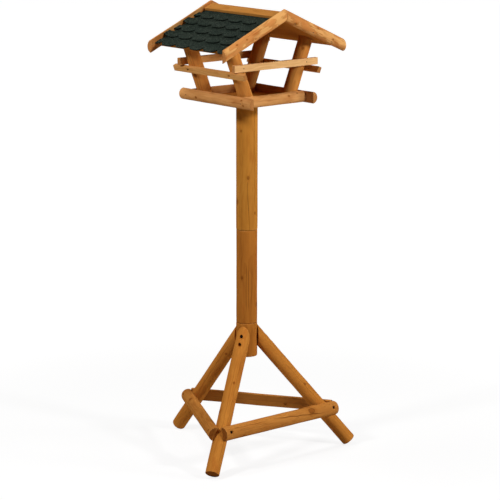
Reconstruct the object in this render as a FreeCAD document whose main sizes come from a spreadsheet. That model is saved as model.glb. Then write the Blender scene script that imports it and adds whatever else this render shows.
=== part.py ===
"""Bird table: a shingled feeding house on a three-legged stand of round wood, in millimetres.

Frame: +Z up, the ground is Z = 0 and the mast stands on the Z axis. The ridge runs along Y and the gables
face -Y (front) and +Y (back). One leg points to the back, the other two to the front corners.
"""
import FreeCAD, Part
import math
import os

from FreeCAD import Placement, Rotation, Vector

X = Vector(1, 0, 0)
Y = Vector(0, 1, 0)
Z = Vector(0, 0, 1)

# Driving sizes, in millimetres and degrees: the alias, its value and what it is
SIZES = [
    ("total_height", 1040, "ground to the top of the gable apex"),
    ("mast_upper_diameter", 49.5, "round mast section under the tray"),
    ("mast_lower_diameter", 48.5, "round mast section in the middle"),
    ("foot_block_diameter", 49, "round block that the legs are screwed to"),
    ("foot_block_bottom", 228, "height of the underside of the foot block"),
    ("foot_block_height", 79, "length of the foot block"),
    ("mast_lower_length", 218, "length of the middle mast section"),
    ("dowel_diameter", 12, "beech dowel in each mast joint"),
    ("dowel_length", 48, "half of it in each section, clear of the leg screws"),
    ("leg_diameter", 33, "round leg stock"),
    ("leg_tilt", 39.8, "angle between a leg and the vertical"),
    ("foot_radius", 245, "mast axis to the middle of a foot's sawn end"),
    ("stand_turn", 1.3, "turn of the stand against the house, as it was put together"),
    ("stretcher_diameter", 33, "round stock that is sawn in half for the stretchers"),
    ("stretcher_length", 348, "length of a stretcher"),
    ("stretcher_height", 91, "height of a stretcher's flat, at its middle"),
    ("stretcher_slip", 6, "how far the front stretcher is screwed on to the right"),
    ("leg_screw_high", 280, "height of the upper screw of each leg"),
    ("leg_screw_low", 264, "height of the lower screw of each leg"),
    ("rail_diameter", 27, "round stock that is sawn in half for tray rails and verges"),
    ("tray_bottom", 820, "height of the underside of the tray"),
    ("tray_half_width", 87.5, "mast axis to the flat of an eave-side rail"),
    ("tray_half_depth", 90, "mast axis to the flat of a gable-side rail"),
    ("eave_rail_length", 248, "length of the rails that run along the eaves"),
    ("eave_rail_front", 127, "mast axis to the front end of these rails"),
    ("floor_thickness", 8, "floor board of the tray"),
    ("post_diameter", 33, "round corner posts"),
    ("post_lean", 21.8, "outward lean of a post, across the ridge"),
    ("post_spread", 59.4, "mast axis to a post's middle at floor level, across the ridge"),
    ("post_depth", 72, "mast axis to a post's middle, along the ridge"),
    ("perch_thickness", 10, "perch bars, measured away from the posts"),
    ("perch_length", 246, "perch bars"),
    ("gable_perch_width", 16, "bars across the gables, measured up"),
    ("gable_perch_height", 911.5, "height of their middle"),
    ("gable_perch_slip", 4, "how far the front one is nailed on to the right"),
    ("eave_perch_width", 14, "bars along the eaves, measured up the posts"),
    ("eave_perch_height", 895, "height of their middle"),
    ("roof_slope", 24, "slope of both roof halves"),
    ("roof_length", 250, "length of the roof boards, between the verges"),
    ("roof_reach", 168.4, "ridge to eave, along the slope"),
    ("roof_thickness", 10, "plywood roof boards"),
    ("roof_drop", 12, "verge centre line to the underside of the roof boards"),
    ("verge_half_width", 177.7, "ridge to the plumb end of a verge, level"),
    ("shingle_thickness", 2.5, "bitumen shingle strip"),
    ("shingle_height", 50, "width of a strip, down the slope"),
    ("shingle_exposure", 31, "distance from one row to the next"),
    ("shingle_first_row", 57, "ridge to the tab tips of the top row, along the slope"),
    ("shingle_pitch", 48.5, "width of one tab"),
    ("shingle_sag", 12, "height of a tab's rounded tip"),
    ("ridge_board_reach", 21, "ridge to the lower edge of a ridge board"),
    ("ridge_board_thickness", 7, "ridge boards"),
]

SHINGLE_ROWS = 5
SHINGLE_PHASES = (-10.0, -34.25)   # middle of one tab in the odd and in the even rows, along the ridge
SHINGLE_STEP = 3.0                 # length of the bend where a strip climbs onto the row below
REACH = 400.0                      # longer than any piece, for cutting blocks

# Fasteners: shank diameter, head diameter, head height, length
WOOD_SCREW = (4.5, 8.0, 3.0, 34.0)
LONG_SCREW = (4.5, 8.0, 3.0, 50.0)
THIN_SCREW = (3.5, 6.5, 2.0, 26.0)
NAIL = (2.2, 3.0, 1.0, 36.0)
SHORT_NAIL = (2.2, 3.0, 1.0, 24.0)
FELT_NAIL = (2.0, 6.0, 0.8, 9.0)

doc = FreeCAD.newDocument("bird_table")
sheet = doc.addObject("Spreadsheet::Sheet", "sizes")
for row, (alias, value, note) in enumerate(SIZES, start=1):
    sheet.set(f"A{row}", note)
    sheet.set(f"B{row}", str(value))
    sheet.setAlias(f"B{row}", alias)
doc.recompute()

pieces = []


def size(alias):
    """The number in the sheet's cell with this alias."""
    return float(sheet.get(alias))


def sin(degrees):
    return math.sin(math.radians(degrees))


def cos(degrees):
    return math.cos(math.radians(degrees))


def tan(degrees):
    return math.tan(math.radians(degrees))


def frame_at(origin, x_axis, z_axis):
    """A placement at origin whose own X and Z point along the two given directions."""
    return Placement(origin, Rotation(x_axis, z_axis.cross(x_axis), z_axis, "ZXY"))


def make(kind, name, placement=None, **bound):
    """A Part primitive whose sizes are expressions on the sheet, or plain numbers."""
    thing = doc.addObject(kind, name)
    for prop, value in bound.items():
        if isinstance(value, str):
            thing.setExpression(prop, value)
        else:
            setattr(thing, prop, value)
    if placement is not None:
        thing.Placement = placement
    return thing


def log(name, placement, diameter, length):
    """Round wood along the placement's Z."""
    return make("Part::Cylinder", name, placement, Radius=f"sizes.{diameter} / 2", Height=length)


def half_log(name, placement, diameter, length):
    """Half-round wood along the placement's Z, its flat on the XZ plane and its round side towards +Y."""
    thing = log(name, placement, diameter, length)
    thing.Angle = 180
    return thing


def block(name, placement, length=REACH, width=REACH, height=REACH):
    """A cutting block centred on the placement's Z and standing on its XY plane."""
    shift = Vector(-length / 2, -width / 2, 0)
    where = placement.multiply(Placement(shift, Rotation()))
    return make("Part::Box", name, where, Length=length, Width=width, Height=height)


def without(name, base, *tools):
    """base with every tool taken away."""
    for number, tool in enumerate(tools):
        cut = doc.addObject("Part::Cut", f"{name}_cut_{number}")
        cut.Base = base
        cut.Tool = tool
        base = cut
    return base


def finish_piece(label, thing, *drills):
    """Bore the piece for its fasteners and keep it under its name."""
    thing = without(label, thing, *drills)
    thing.Label = label
    pieces.append(thing)
    return thing


def fasteners(label, kind, seats, sink=0.0):
    """A group of equal fasteners and the holes they sit in.

    A seat is the point on the wood's surface where the fastener goes in, the direction it goes in and,
    if it differs from the group's, how deep its head is sunk.
    """
    shank, head, head_height, length = kind
    bodies, bores = [], []
    for number, seat in enumerate(seats):
        point, direction = seat[0], seat[1]
        depth = seat[2] if len(seat) > 2 else sink
        side = Z if abs(direction.z) < 0.9 else X
        across = direction.cross(side).normalize()
        where = frame_at(point + direction * depth, across, direction)
        top = make("Part::Cylinder", f"{label}_head_{number}", where, Radius=head / 2, Height=head_height)
        rod = make("Part::Cylinder", f"{label}_rod_{number}", where, Radius=shank / 2, Height=length)
        both = doc.addObject("Part::Fuse", f"{label}_{number}")
        both.Base = top
        both.Tool = rod
        bodies.append(both)
        away = frame_at(point + direction * depth, across, direction * -1)
        bores.append(make("Part::Cylinder", f"{label}_bore_{number}", away,
                          Radius=head / 2, Height=depth + head))
    group = make("Part::Compound", f"{label}_group")
    group.Links = bodies
    group.Label = label
    pieces.append(group)
    drill = make("Part::Compound", f"{label}_drill")
    drill.Links = bodies + (bores if sink or len(seats[0]) > 2 else [])
    return drill


# Stand: places worked out from the sizes

stand_turn = size("stand_turn")
LEG_AZIMUTHS = {"front_left": 210 + stand_turn, "front_right": 330 + stand_turn, "back": 90 + stand_turn}
STRETCHER_AZIMUTHS = {"front": 270 + stand_turn, "right": 30 + stand_turn, "left": 150 + stand_turn}
STRETCHER_SLIPS = {"front": size("stretcher_slip"), "right": 0.0, "left": 0.0}

leg_radius = size("leg_diameter") / 2
leg_tilt = size("leg_tilt")
foot_height = leg_radius * sin(leg_tilt)
block_radius = size("foot_block_diameter") / 2
joint_low = size("foot_block_bottom") + size("foot_block_height")
joint_high = joint_low + size("mast_lower_length")
leg_length = (size("foot_radius") - block_radius) / sin(leg_tilt) + leg_radius * 2

# A stretcher lies flush on two legs, so its flat leans in with the plane that touches both
stretcher_lean = math.degrees(math.atan(cos(60) * tan(leg_tilt)))
stretcher_round = Vector(cos(stretcher_lean), 0, sin(stretcher_lean))
flat_distance = (stretcher_round.x * size("foot_radius") * cos(60)
                 + stretcher_round.z * foot_height + leg_radius)
flat_middle = Vector((flat_distance - stretcher_round.z * size("stretcher_height")) / stretcher_round.x,
                     0, size("stretcher_height"))
contact_height = size("stretcher_height") - leg_radius * stretcher_round.z
contact_side = (size("foot_radius") - (contact_height - foot_height) * tan(leg_tilt)) * sin(60)


def around(azimuth, vector):
    """The vector turned about the mast axis."""
    return Rotation(Z, azimuth).multVec(vector)


def leg_surface(height):
    """Mast axis to the outer side of a leg at this height."""
    return (size("foot_radius") + leg_radius * cos(leg_tilt)
            - (height - foot_height - leg_radius * sin(leg_tilt)) * tan(leg_tilt))


def leg_screw_seats():
    """Two level screws in each leg; the lower one is sunk deeper, where the leg is thicker."""
    seats = []
    for azimuth in LEG_AZIMUTHS.values():
        for height, depth in ((size("leg_screw_high"), 4.0), (size("leg_screw_low"), 12.0)):
            point = around(azimuth, Vector(leg_surface(height), 0, height))
            seats.append((point, around(azimuth, X * -1), depth))
    return seats


def stretcher_screw_seats():
    """One screw at each end of a stretcher, square to its flat, over the line where it meets the leg."""
    crest = flat_middle + stretcher_round * (size("stretcher_diameter") / 2)
    seats = []
    for name, azimuth in STRETCHER_AZIMUTHS.items():
        for side in (-1, 1):
            point = around(azimuth, crest + Y * (side * contact_side + STRETCHER_SLIPS[name]))
            seats.append((point, around(azimuth, stretcher_round * -1)))
    return seats


def build_mast(leg_drill, floor_drill):
    """Three round sections, end to end, with a dowel in each joint."""
    dowels = []
    for name, height in (("mast_dowel_lower", joint_low), ("mast_dowel_upper", joint_high)):
        where = Placement(Z * (height - size("dowel_length") / 2), Rotation())
        dowels.append(log(name, where, "dowel_diameter", "sizes.dowel_length"))
        finish_piece(name, dowels[-1])
    block_end = Placement(Z * size("foot_block_bottom"), Rotation())
    foot_block = log("foot_block", block_end, "foot_block_diameter", "sizes.foot_block_height")
    lower_end = Placement(Z * joint_low, Rotation())
    lower = log("lower", lower_end, "mast_lower_diameter", "sizes.mast_lower_length")
    upper_end = Placement(Z * joint_high, Rotation())
    upper = log("upper", upper_end, "mast_upper_diameter",
                "sizes.tray_bottom - sizes.foot_block_bottom - sizes.foot_block_height"
                " - sizes.mast_lower_length")
    finish_piece("mast_foot_block", foot_block, leg_drill, dowels[0])
    finish_piece("mast_lower", lower, dowels[0], dowels[1])
    finish_piece("mast_upper", upper, dowels[1], floor_drill)


def build_leg(name, azimuth, *drills):
    """Round leg, sawn square at the foot and plumb where it stands against the foot block."""
    foot = around(azimuth, Vector(size("foot_radius"), 0, foot_height))
    upward = around(azimuth, Vector(-sin(leg_tilt), 0, cos(leg_tilt)))
    sideways = around(azimuth, Y)
    leg = log(f"leg_{name}_log", frame_at(foot, sideways, upward), "leg_diameter", leg_length)
    outward = around(azimuth, X)
    against = frame_at(outward * block_radius + Z * joint_low, sideways, outward * -1)
    plumb = block(f"leg_{name}_plumb", against)
    finish_piece(f"leg_{name}", without(f"leg_{name}_log", leg, plumb), *drills)


def build_stretcher(name, azimuth, drill):
    """Half-round stretcher with its flat on two legs."""
    along = around(azimuth, Y)
    outward = around(azimuth, stretcher_round)
    start = around(azimuth, flat_middle) + along * (STRETCHER_SLIPS[name] - size("stretcher_length") / 2)
    where = frame_at(start, outward.cross(along), along)
    half = half_log(f"stretcher_{name}_log", where, "stretcher_diameter", "sizes.stretcher_length")
    finish_piece(f"stretcher_{name}", half, drill)


# Tray

floor_top = size("tray_bottom") + size("floor_thickness")
rail_radius = size("rail_diameter") / 2
rail_middle = size("tray_bottom") + rail_radius


def tray_nail_seats():
    """A nail through each end of the eave-side rails and two through every rail into the floor's edge."""
    seats = []
    floor_middle = size("tray_bottom") + size("floor_thickness") / 2
    bulge = math.sqrt(rail_radius ** 2 - (rail_middle - floor_middle) ** 2)
    wide, deep = size("tray_half_width"), size("tray_half_depth")
    for side in (-1, 1):
        for end in (-1, 1):
            seats.append((Vector(side * (wide + rail_radius), end * (deep + rail_radius * 0.45), rail_middle),
                          X * -side))
            seats.append((Vector(side * (wide + bulge), end * deep * 0.5, floor_middle), X * -side))
            seats.append((Vector(end * wide * 0.5, side * (deep + bulge), floor_middle), Y * -side))
    return seats


def floor_screw_seats():
    """Three screws from the floor down into the top of the mast."""
    ring = size("mast_upper_diameter") / 4
    return [(around(120 * number, X * ring) + Z * floor_top, Z * -1) for number in range(3)]


def build_tray(nail_drill, floor_drill, post_drill):
    """Floor board between four half-round rails; the eave-side rails run past the others."""
    corner = Placement(Vector(-size("tray_half_width"), -size("tray_half_depth"), size("tray_bottom")),
                       Rotation())
    floor = make("Part::Box", "floor", corner, Length="2 * sizes.tray_half_width",
                 Width="2 * sizes.tray_half_depth", Height="sizes.floor_thickness")
    finish_piece("floor_board", floor, nail_drill, floor_drill, post_drill)
    for name, side in (("left", -1), ("right", 1)):
        start = Vector(side * size("tray_half_width"), -size("eave_rail_front"), rail_middle)
        where = frame_at(start, Z * side, Y)
        rail = half_log(f"tray_{name}", where, "rail_diameter", "sizes.eave_rail_length")
        finish_piece(f"tray_rail_{name}", rail, nail_drill)
    for name, side in (("front", -1), ("back", 1)):
        start = Vector(side * size("tray_half_width"), side * size("tray_half_depth"), rail_middle)
        where = frame_at(start, Z, X * -side)
        rail = half_log(f"tray_{name}", where, "rail_diameter", "2 * sizes.tray_half_width")
        finish_piece(f"tray_rail_{name}", rail, nail_drill)


# Posts, perches and roof

post_radius = size("post_diameter") / 2
slope = size("roof_slope")
verge_top = size("total_height") - rail_radius / cos(slope)
under_roof = verge_top - size("roof_drop") / cos(slope)


def roof_axes(side):
    """Down the slope and away from it, on the left (-1) or right (+1) roof half."""
    return Vector(side * cos(slope), 0, -sin(slope)), Vector(side * sin(slope), 0, cos(slope))


def roof_point(side, down, along, off):
    """A point by its distance down the slope, along the ridge and off the verge's centre plane."""
    fall, lift = roof_axes(side)
    return Z * verge_top + fall * down + Y * along + lift * off


def post_axis(side, end, height):
    """The middle of a post at this height."""
    lean = size("post_spread") + (height - floor_top) * tan(size("post_lean"))
    return Vector(side * lean, end * size("post_depth"), height)


def corners():
    """Name and signs across and along the ridge of the four posts."""
    for end_name, end in (("front", -1), ("back", 1)):
        for side_name, side in (("left", -1), ("right", 1)):
            yield f"{end_name}_{side_name}", side, end


def post_screw_seats():
    """A screw from under the floor up into the foot of each post."""
    return [(Vector(side * size("post_spread"), end * size("post_depth"), size("tray_bottom")), Z)
            for name, side, end in corners()]


def perch_out(side):
    """Away from the posts, square to their lean, on the eave sides."""
    return Vector(side * cos(size("post_lean")), 0, -sin(size("post_lean")))


def perch_root(side, end):
    """The point in a post's middle that an eave perch lies square out from."""
    reach = post_radius + size("perch_thickness") / 2
    return post_axis(side, end, size("eave_perch_height") + reach * sin(size("post_lean")))


def perch_nail_seats():
    """Nails through the gable perches into the posts."""
    seats = []
    face = size("post_depth") + post_radius + size("perch_thickness")
    for name, side, end in corners():
        point = post_axis(side, end, size("gable_perch_height"))
        seats.append((Vector(point.x, end * face, point.z), Y * -end))
    return seats


def perch_screw_seats():
    """Screws through the eave perches into the posts."""
    seats = []
    for name, side, end in corners():
        shift = perch_out(side) * (post_radius + size("perch_thickness"))
        seats.append((perch_root(side, end) + shift, perch_out(side) * -1))
    return seats


def roof_nail_seats():
    """A nail through the roof board into the top of each post."""
    seats = []
    off = size("roof_thickness") - size("roof_drop")
    for name, side, end in corners():
        height = under_roof - size("post_spread") * tan(slope)
        reach = post_axis(side, end, height).x * side / cos(slope)
        seats.append((roof_point(side, reach, end * size("post_depth"), off), roof_axes(side)[1] * -1))
    return seats


def verge_nail_seats():
    """Three nails through each verge into the edge of the roof board."""
    off = size("roof_thickness") / 2 - size("roof_drop")
    bulge = math.sqrt(rail_radius ** 2 - off ** 2)
    return [(roof_point(side, down, end * (size("roof_length") / 2 + bulge), off), Y * -end)
            for name, side, end in corners() for down in (30, 90, 150)]


def row_tip(number):
    """Ridge to the tab tips of a shingle row, down the slope."""
    return size("shingle_first_row") + number * size("shingle_exposure")


def felt_nail_seats():
    """Three flat-headed nails in each shingle strip, where the row above hides them."""
    off = size("roof_thickness") - size("roof_drop") + size("shingle_thickness")
    seats = []
    for side in (-1, 1):
        lift = roof_axes(side)[1]
        for number in range(SHINGLE_ROWS):
            down = row_tip(number) - size("shingle_height") + 12
            seats += [(roof_point(side, down, along, off), lift * -1) for along in (-100, 0, 100)]
    return seats


def ridge_nail_seats():
    """Three nails in each ridge board."""
    off = size("roof_thickness") - size("roof_drop") + size("shingle_thickness") + size("ridge_board_thickness")
    return [(roof_point(side, 11, along, off), roof_axes(side)[1] * -1)
            for side in (-1, 1) for along in (-112, 6, 112)]


def build_posts(*drills):
    """Round posts that lean outwards, sawn level on the floor and to the roof's slope at the top."""
    for name, side, end in corners():
        foot = post_axis(side, end, floor_top - 20)
        upward = (post_axis(side, end, floor_top) - foot).normalize()
        post = log(f"post_{name}_log", frame_at(foot, Y, upward), "post_diameter", 190)
        below = block(f"post_{name}_level", Placement(Z * floor_top, Rotation(X, 180)), height=60)
        lift = roof_axes(side)[1]
        above = block(f"post_{name}_slope", frame_at(Z * under_roof, Y, lift), height=100)
        shaped = without(f"post_{name}_log", post, below, above)
        finish_piece(f"post_{name}", shaped, *drills)


def build_perches(nail_drill, screw_drill):
    """Square perch bars nailed across the posts, higher on the gables than along the eaves."""
    for name, end in (("front", -1), ("back", 1)):
        inner = size("post_depth") + post_radius
        near = min(end * inner, end * (inner + size("perch_thickness")))
        start = size("gable_perch_slip") * (end < 0) - size("perch_length") / 2
        corner = Vector(start, near, size("gable_perch_height") - size("gable_perch_width") / 2)
        bar = make("Part::Box", f"bar_{name}", Placement(corner, Rotation()), Length="sizes.perch_length",
                   Width="sizes.perch_thickness", Height="sizes.gable_perch_width")
        finish_piece(f"perch_{name}", bar, nail_drill)
    for name, side in (("left", -1), ("right", 1)):
        middle = perch_root(side, 0)
        outward = perch_out(side)
        along = Y * side
        upward = outward.cross(along)
        corner = (middle + outward * post_radius - along * (size("perch_length") / 2)
                  - upward * (size("eave_perch_width") / 2))
        where = Placement(corner, Rotation(outward, along, upward, "XYZ"))
        bar = make("Part::Box", f"bar_{name}", where, Length="sizes.perch_thickness",
                   Width="sizes.perch_length", Height="sizes.eave_perch_width")
        finish_piece(f"perch_{name}", bar, screw_drill)


def other_side(name, side):
    """A block that takes away what reaches over the ridge to the other roof half."""
    return block(name, frame_at(Z * verge_top, Y, X * -side))


def slope_frame(side, off):
    """A placement on the roof half: X down the slope, Z away from it, at this distance off."""
    fall, lift = roof_axes(side)
    return Placement(Z * verge_top + lift * off, Rotation(fall, Y * side, lift, "XYZ"))


def build_roof_board(name, side, *drills):
    """Plywood board, mitred at the ridge and square at the eave."""
    start = Placement(Vector(-20, -size("roof_length") / 2, 0), Rotation())
    where = slope_frame(side, -size("roof_drop")).multiply(start)
    board = make("Part::Box", f"roof_{name}", where, Length="20 + sizes.roof_reach",
                 Width="sizes.roof_length", Height="sizes.roof_thickness")
    mitred = without(f"roof_{name}", board, other_side(f"roof_{name}_mitre", side))
    finish_piece(f"roof_board_{name}", mitred, *drills)


def build_ridge_board(name, side, *drills):
    """Flat board over the top of the shingles, mitred at the ridge."""
    off = size("roof_thickness") - size("roof_drop") + size("shingle_thickness")
    start = Placement(Vector(-20, -size("roof_length") / 2, 0), Rotation())
    where = slope_frame(side, off).multiply(start)
    board = make("Part::Box", f"ridge_{name}", where, Length="20 + sizes.ridge_board_reach",
                 Width="sizes.roof_length", Height="sizes.ridge_board_thickness")
    mitred = without(f"ridge_{name}", board, other_side(f"ridge_{name}_mitre", side))
    finish_piece(f"ridge_board_{name}", mitred, *drills)


def build_verges(drill):
    """Half-round verges on the roof board's edges, sawn plumb at the apex and at the eaves."""
    for name, side, end in corners():
        fall = roof_axes(side)[0]
        start = roof_point(side, -30, end * size("roof_length") / 2, 0)
        half = half_log(f"verge_{name}_log", frame_at(start, (Y * end).cross(fall), fall),
                        "rail_diameter", 270)
        span = Placement(Vector(0, -REACH / 2, 0), Rotation())
        if side < 0:
            span = Placement(Vector(-size("verge_half_width"), -REACH / 2, 0), Rotation())
        plumb = make("Part::Box", f"verge_{name}_plumb", span, Length="sizes.verge_half_width",
                     Width=REACH, Height="sizes.total_height + 100")
        both = doc.addObject("Part::Common", f"verge_{name}_shaped")
        both.Base = half
        both.Tool = plumb
        finish_piece(f"verge_{name}", both, drill)


def attach(sketch, body, role):
    """Lay the sketch on one of its body's own origin planes."""
    plane = next(plane for plane in body.Origin.OriginFeatures if plane.Role == role)
    sketch.AttachmentSupport = [(plane, "")]
    sketch.MapMode = "FlatFace"


def outline(sketch, points):
    """A closed run of straight lines through the points."""
    for start, stop in zip(points, points[1:] + points[:1]):
        sketch.addGeometry(Part.LineSegment(start, stop), False)


def strip_section(sketch, number):
    """Section of a strip: flat on the board, then up onto the row below, which the last row hasn't."""
    thick = size("shingle_thickness")
    tip = row_tip(number)
    head = tip - size("shingle_height")
    low_end = tip - (size("shingle_height") - size("shingle_exposure")) - SHINGLE_STEP
    if number == SHINGLE_ROWS - 1:
        run = [(head, 0), (tip, 0), (tip, thick), (head, thick)]
    else:
        high = low_end + SHINGLE_STEP
        run = [(head, 0), (low_end, 0), (high, thick), (tip, thick),
               (tip, 2 * thick), (high, 2 * thick), (low_end, thick), (head, thick)]
    outline(sketch, [Vector(u, v, 0) for u, v in run])


def tab_gaps(sketch, number):
    """The waste below the rounded tabs: arcs from cusp to cusp, closed beyond the tips."""
    pitch, sag, tip = size("shingle_pitch"), size("shingle_sag"), row_tip(number)
    first = SHINGLE_PHASES[number % 2] - 3.5 * pitch
    cusps = [Vector(tip - sag, first + pitch * index, 0) for index in range(8)]
    for start, stop in zip(cusps, cusps[1:]):
        middle = Vector(tip, (start.y + stop.y) / 2, 0)
        sketch.addGeometry(Part.Arc(start, middle, stop), False)
    far = tip + size("shingle_exposure")
    below = [cusps[-1], Vector(far, cusps[-1].y, 0), Vector(far, cusps[0].y, 0), cusps[0]]
    for start, stop in zip(below, below[1:]):
        sketch.addGeometry(Part.LineSegment(start, stop), False)


def build_shingles(side_name, side, felt_drill, ridge_drill):
    """Strips of rounded bitumen tabs in rows, each row half a tab aside from the next."""
    for number in range(SHINGLE_ROWS):
        label = f"shingle_row_{side_name}_{number + 1}"
        body = doc.addObject("PartDesign::Body", f"{label}_body")
        section = body.newObject("Sketcher::SketchObject", f"{label}_section")
        attach(section, body, "XZ_Plane")
        strip_section(section, number)
        doc.recompute()
        pad = body.newObject("PartDesign::Pad", f"{label}_strip")
        pad.Profile = section
        pad.SideType = "Symmetric"
        pad.setExpression("Length", "sizes.roof_length")
        doc.recompute()
        plan = body.newObject("Sketcher::SketchObject", f"{label}_plan")
        attach(plan, body, "XY_Plane")
        tab_gaps(plan, number)
        doc.recompute()
        pocket = body.newObject("PartDesign::Pocket", f"{label}_tabs")
        pocket.Profile = plan
        pocket.SideType = "Symmetric"
        pocket.Length = 40
        body.Tip = pocket
        body.Placement = slope_frame(side, size("roof_thickness") - size("roof_drop"))
        drills = [felt_drill] + ([ridge_drill] if number == 0 else [])
        finish_piece(label, body, *drills)


def check_and_write():
    """Stop on any failed object or bad solid, then write one STEP file for each piece."""
    doc.recompute()
    for thing in doc.Objects:
        if "Invalid" in thing.State or "Error" in thing.State:
            raise RuntimeError(f"{thing.Name} failed: {thing.State}")
    for piece in pieces:
        if piece.Shape.isNull() or not piece.Shape.isValid():
            raise RuntimeError(f"{piece.Label} has no valid shape")
    os.makedirs("parts", exist_ok=True)
    for piece in pieces:
        piece.Shape.exportStep(os.path.join("parts", piece.Label + ".step"))
        box = piece.Shape.BoundBox
        print(f"{piece.Label}: {len(piece.Shape.Solids)} solid(s), {piece.Shape.Volume / 1000:.1f} cm3, "
              f"{box.XLength:.1f} x {box.YLength:.1f} x {box.ZLength:.1f}")
    print(len(pieces), "pieces")


leg_drill = fasteners("leg_screws", WOOD_SCREW, leg_screw_seats())
stretcher_drill = fasteners("stretcher_screws", WOOD_SCREW, stretcher_screw_seats(), sink=4.0)
floor_drill = fasteners("floor_screws", LONG_SCREW, floor_screw_seats())
post_drill = fasteners("post_foot_screws", WOOD_SCREW, post_screw_seats())
tray_drill = fasteners("tray_nails", NAIL, tray_nail_seats())
perch_nail_drill = fasteners("perch_nails", SHORT_NAIL, perch_nail_seats())
perch_screw_drill = fasteners("perch_screws", THIN_SCREW, perch_screw_seats(), sink=3.5)
roof_drill = fasteners("roof_post_nails", NAIL, roof_nail_seats())
verge_drill = fasteners("verge_nails", NAIL, verge_nail_seats())
felt_drill = fasteners("shingle_nails", FELT_NAIL, felt_nail_seats())
ridge_drill = fasteners("ridge_nails", SHORT_NAIL, ridge_nail_seats())

build_mast(leg_drill, floor_drill)
for name, azimuth in LEG_AZIMUTHS.items():
    build_leg(name, azimuth, leg_drill, stretcher_drill)
for name, azimuth in STRETCHER_AZIMUTHS.items():
    build_stretcher(name, azimuth, stretcher_drill)
build_tray(tray_drill, floor_drill, post_drill)
build_posts(post_drill, perch_nail_drill, perch_screw_drill, roof_drill)
build_perches(perch_nail_drill, perch_screw_drill)
for name, side in (("left", -1), ("right", 1)):
    build_roof_board(name, side, roof_drill, verge_drill, felt_drill, ridge_drill)
    build_shingles(name, side, felt_drill, ridge_drill)
    build_ridge_board(name, side, ridge_drill)
build_verges(verge_drill)
check_and_write()
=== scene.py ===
# %% [markdown]
# A garden bird table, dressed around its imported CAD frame.
#
# The real thing is stained softwood: turned round stock, the same stock sawn in half, a few thin bars and
# boards, and a roof of bitumen shingles. Nearly every piece is one idea, a length of stock with a given
# section between two saw cuts, so one function makes them all and the finish is one solid wood pattern.
# Modelling each log by hand would give the same shapes with far more work, and no way to change them.

# %% Load the frame
import math

import bmesh
import bpy
import numpy as np
from mathutils import Matrix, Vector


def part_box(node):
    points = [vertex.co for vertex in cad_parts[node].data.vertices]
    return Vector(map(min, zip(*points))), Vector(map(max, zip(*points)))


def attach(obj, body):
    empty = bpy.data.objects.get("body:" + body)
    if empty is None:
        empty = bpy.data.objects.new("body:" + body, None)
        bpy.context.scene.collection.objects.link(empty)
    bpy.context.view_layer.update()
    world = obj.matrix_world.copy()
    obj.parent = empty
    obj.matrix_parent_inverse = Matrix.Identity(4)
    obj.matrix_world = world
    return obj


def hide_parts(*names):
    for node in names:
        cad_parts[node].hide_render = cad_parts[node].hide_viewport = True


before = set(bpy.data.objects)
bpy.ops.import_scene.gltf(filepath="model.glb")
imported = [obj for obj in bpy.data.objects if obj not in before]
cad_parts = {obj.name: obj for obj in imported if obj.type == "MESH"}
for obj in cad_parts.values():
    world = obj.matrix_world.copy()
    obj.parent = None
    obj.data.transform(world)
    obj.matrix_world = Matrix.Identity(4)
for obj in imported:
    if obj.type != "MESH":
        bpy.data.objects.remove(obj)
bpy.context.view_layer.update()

# %% [markdown]
# Sizes. The CAD model of the table is in millimetres and Blender works in metres, so lengths are written in
# millimetres and multiplied by MM. They are the driving sizes of that model, and each finished piece is
# measured against its CAD node, so that a slip in one of them is printed at once. Azimuths are in degrees,
# from +X towards +Y.

# %% Driving sizes
MM = 0.001
X, Y, Z = np.eye(3)

LEG_RADIUS = 16.5 * MM
LEG_TILT = math.radians(39.8)
FOOT_RADIUS = 245 * MM
STAND_TURN = 1.3
LEGS = {"front_left": 210, "front_right": 330, "back": 90}
STRETCHERS = {"front": (270, 6 * MM), "right": (30, 0.0), "left": (150, 0.0)}
STRETCHER_LENGTH = 348 * MM
STRETCHER_HEIGHT = 91 * MM
BLOCK_RADIUS = 24.5 * MM
BLOCK_BOTTOM = 228 * MM
JOINT_LOW = 307 * MM
JOINT_HIGH = 525 * MM
MAST_LOWER_RADIUS = 24.25 * MM
MAST_UPPER_RADIUS = 24.75 * MM

TRAY_BOTTOM = 820 * MM
FLOOR_TOP = 828 * MM
RAIL_RADIUS = 13.5 * MM
RAIL_HEIGHT = TRAY_BOTTOM + RAIL_RADIUS
TRAY_HALF_WIDTH = 87.5 * MM
TRAY_HALF_DEPTH = 90 * MM
EAVE_RAIL = (-127 * MM, 121 * MM)

POST_RADIUS = 16.5 * MM
POST_LEAN = math.radians(21.8)
POST_SPREAD = 59.4 * MM
POST_DEPTH = 72 * MM
PERCH_THICKNESS = 10 * MM
PERCH_LENGTH = 246 * MM
GABLE_PERCH = (911.5 * MM, 16 * MM, 4 * MM)
EAVE_PERCH = (895 * MM, 14 * MM)

TOTAL_HEIGHT = 1040 * MM
SLOPE = math.radians(24)
ROOF_HALF_LENGTH = 125 * MM
ROOF_REACH = 168.4 * MM
ROOF_UNDER = -12 * MM
ROOF_TOP = -2 * MM
VERGE_HALF_WIDTH = 177.7 * MM
RIDGE_REACH = 21 * MM
RIDGE_THICKNESS = 7 * MM
SHINGLE = 2.5 * MM
ROWS = 5
TAB_STEP = 31 * MM
TAB_TIPS = [57 * MM + TAB_STEP * row for row in range(ROWS)]
TAB_PITCH = 48.5 * MM
TAB_PHASES = (-10 * MM, -34.25 * MM)
STRIP_HEIGHT = 50 * MM

VERGE_TOP = TOTAL_HEIGHT - RAIL_RADIUS / math.cos(SLOPE)
SIDES = {"left": -1, "right": 1}
CORNERS = {"front_left": (-1, -1), "front_right": (1, -1), "back_left": (-1, 1), "back_right": (1, 1)}


def compass(azimuth):
    """The level direction at this azimuth, in degrees, from +X towards +Y."""
    angle = math.radians(azimuth)
    return math.cos(angle) * X + math.sin(angle) * Y


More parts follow.
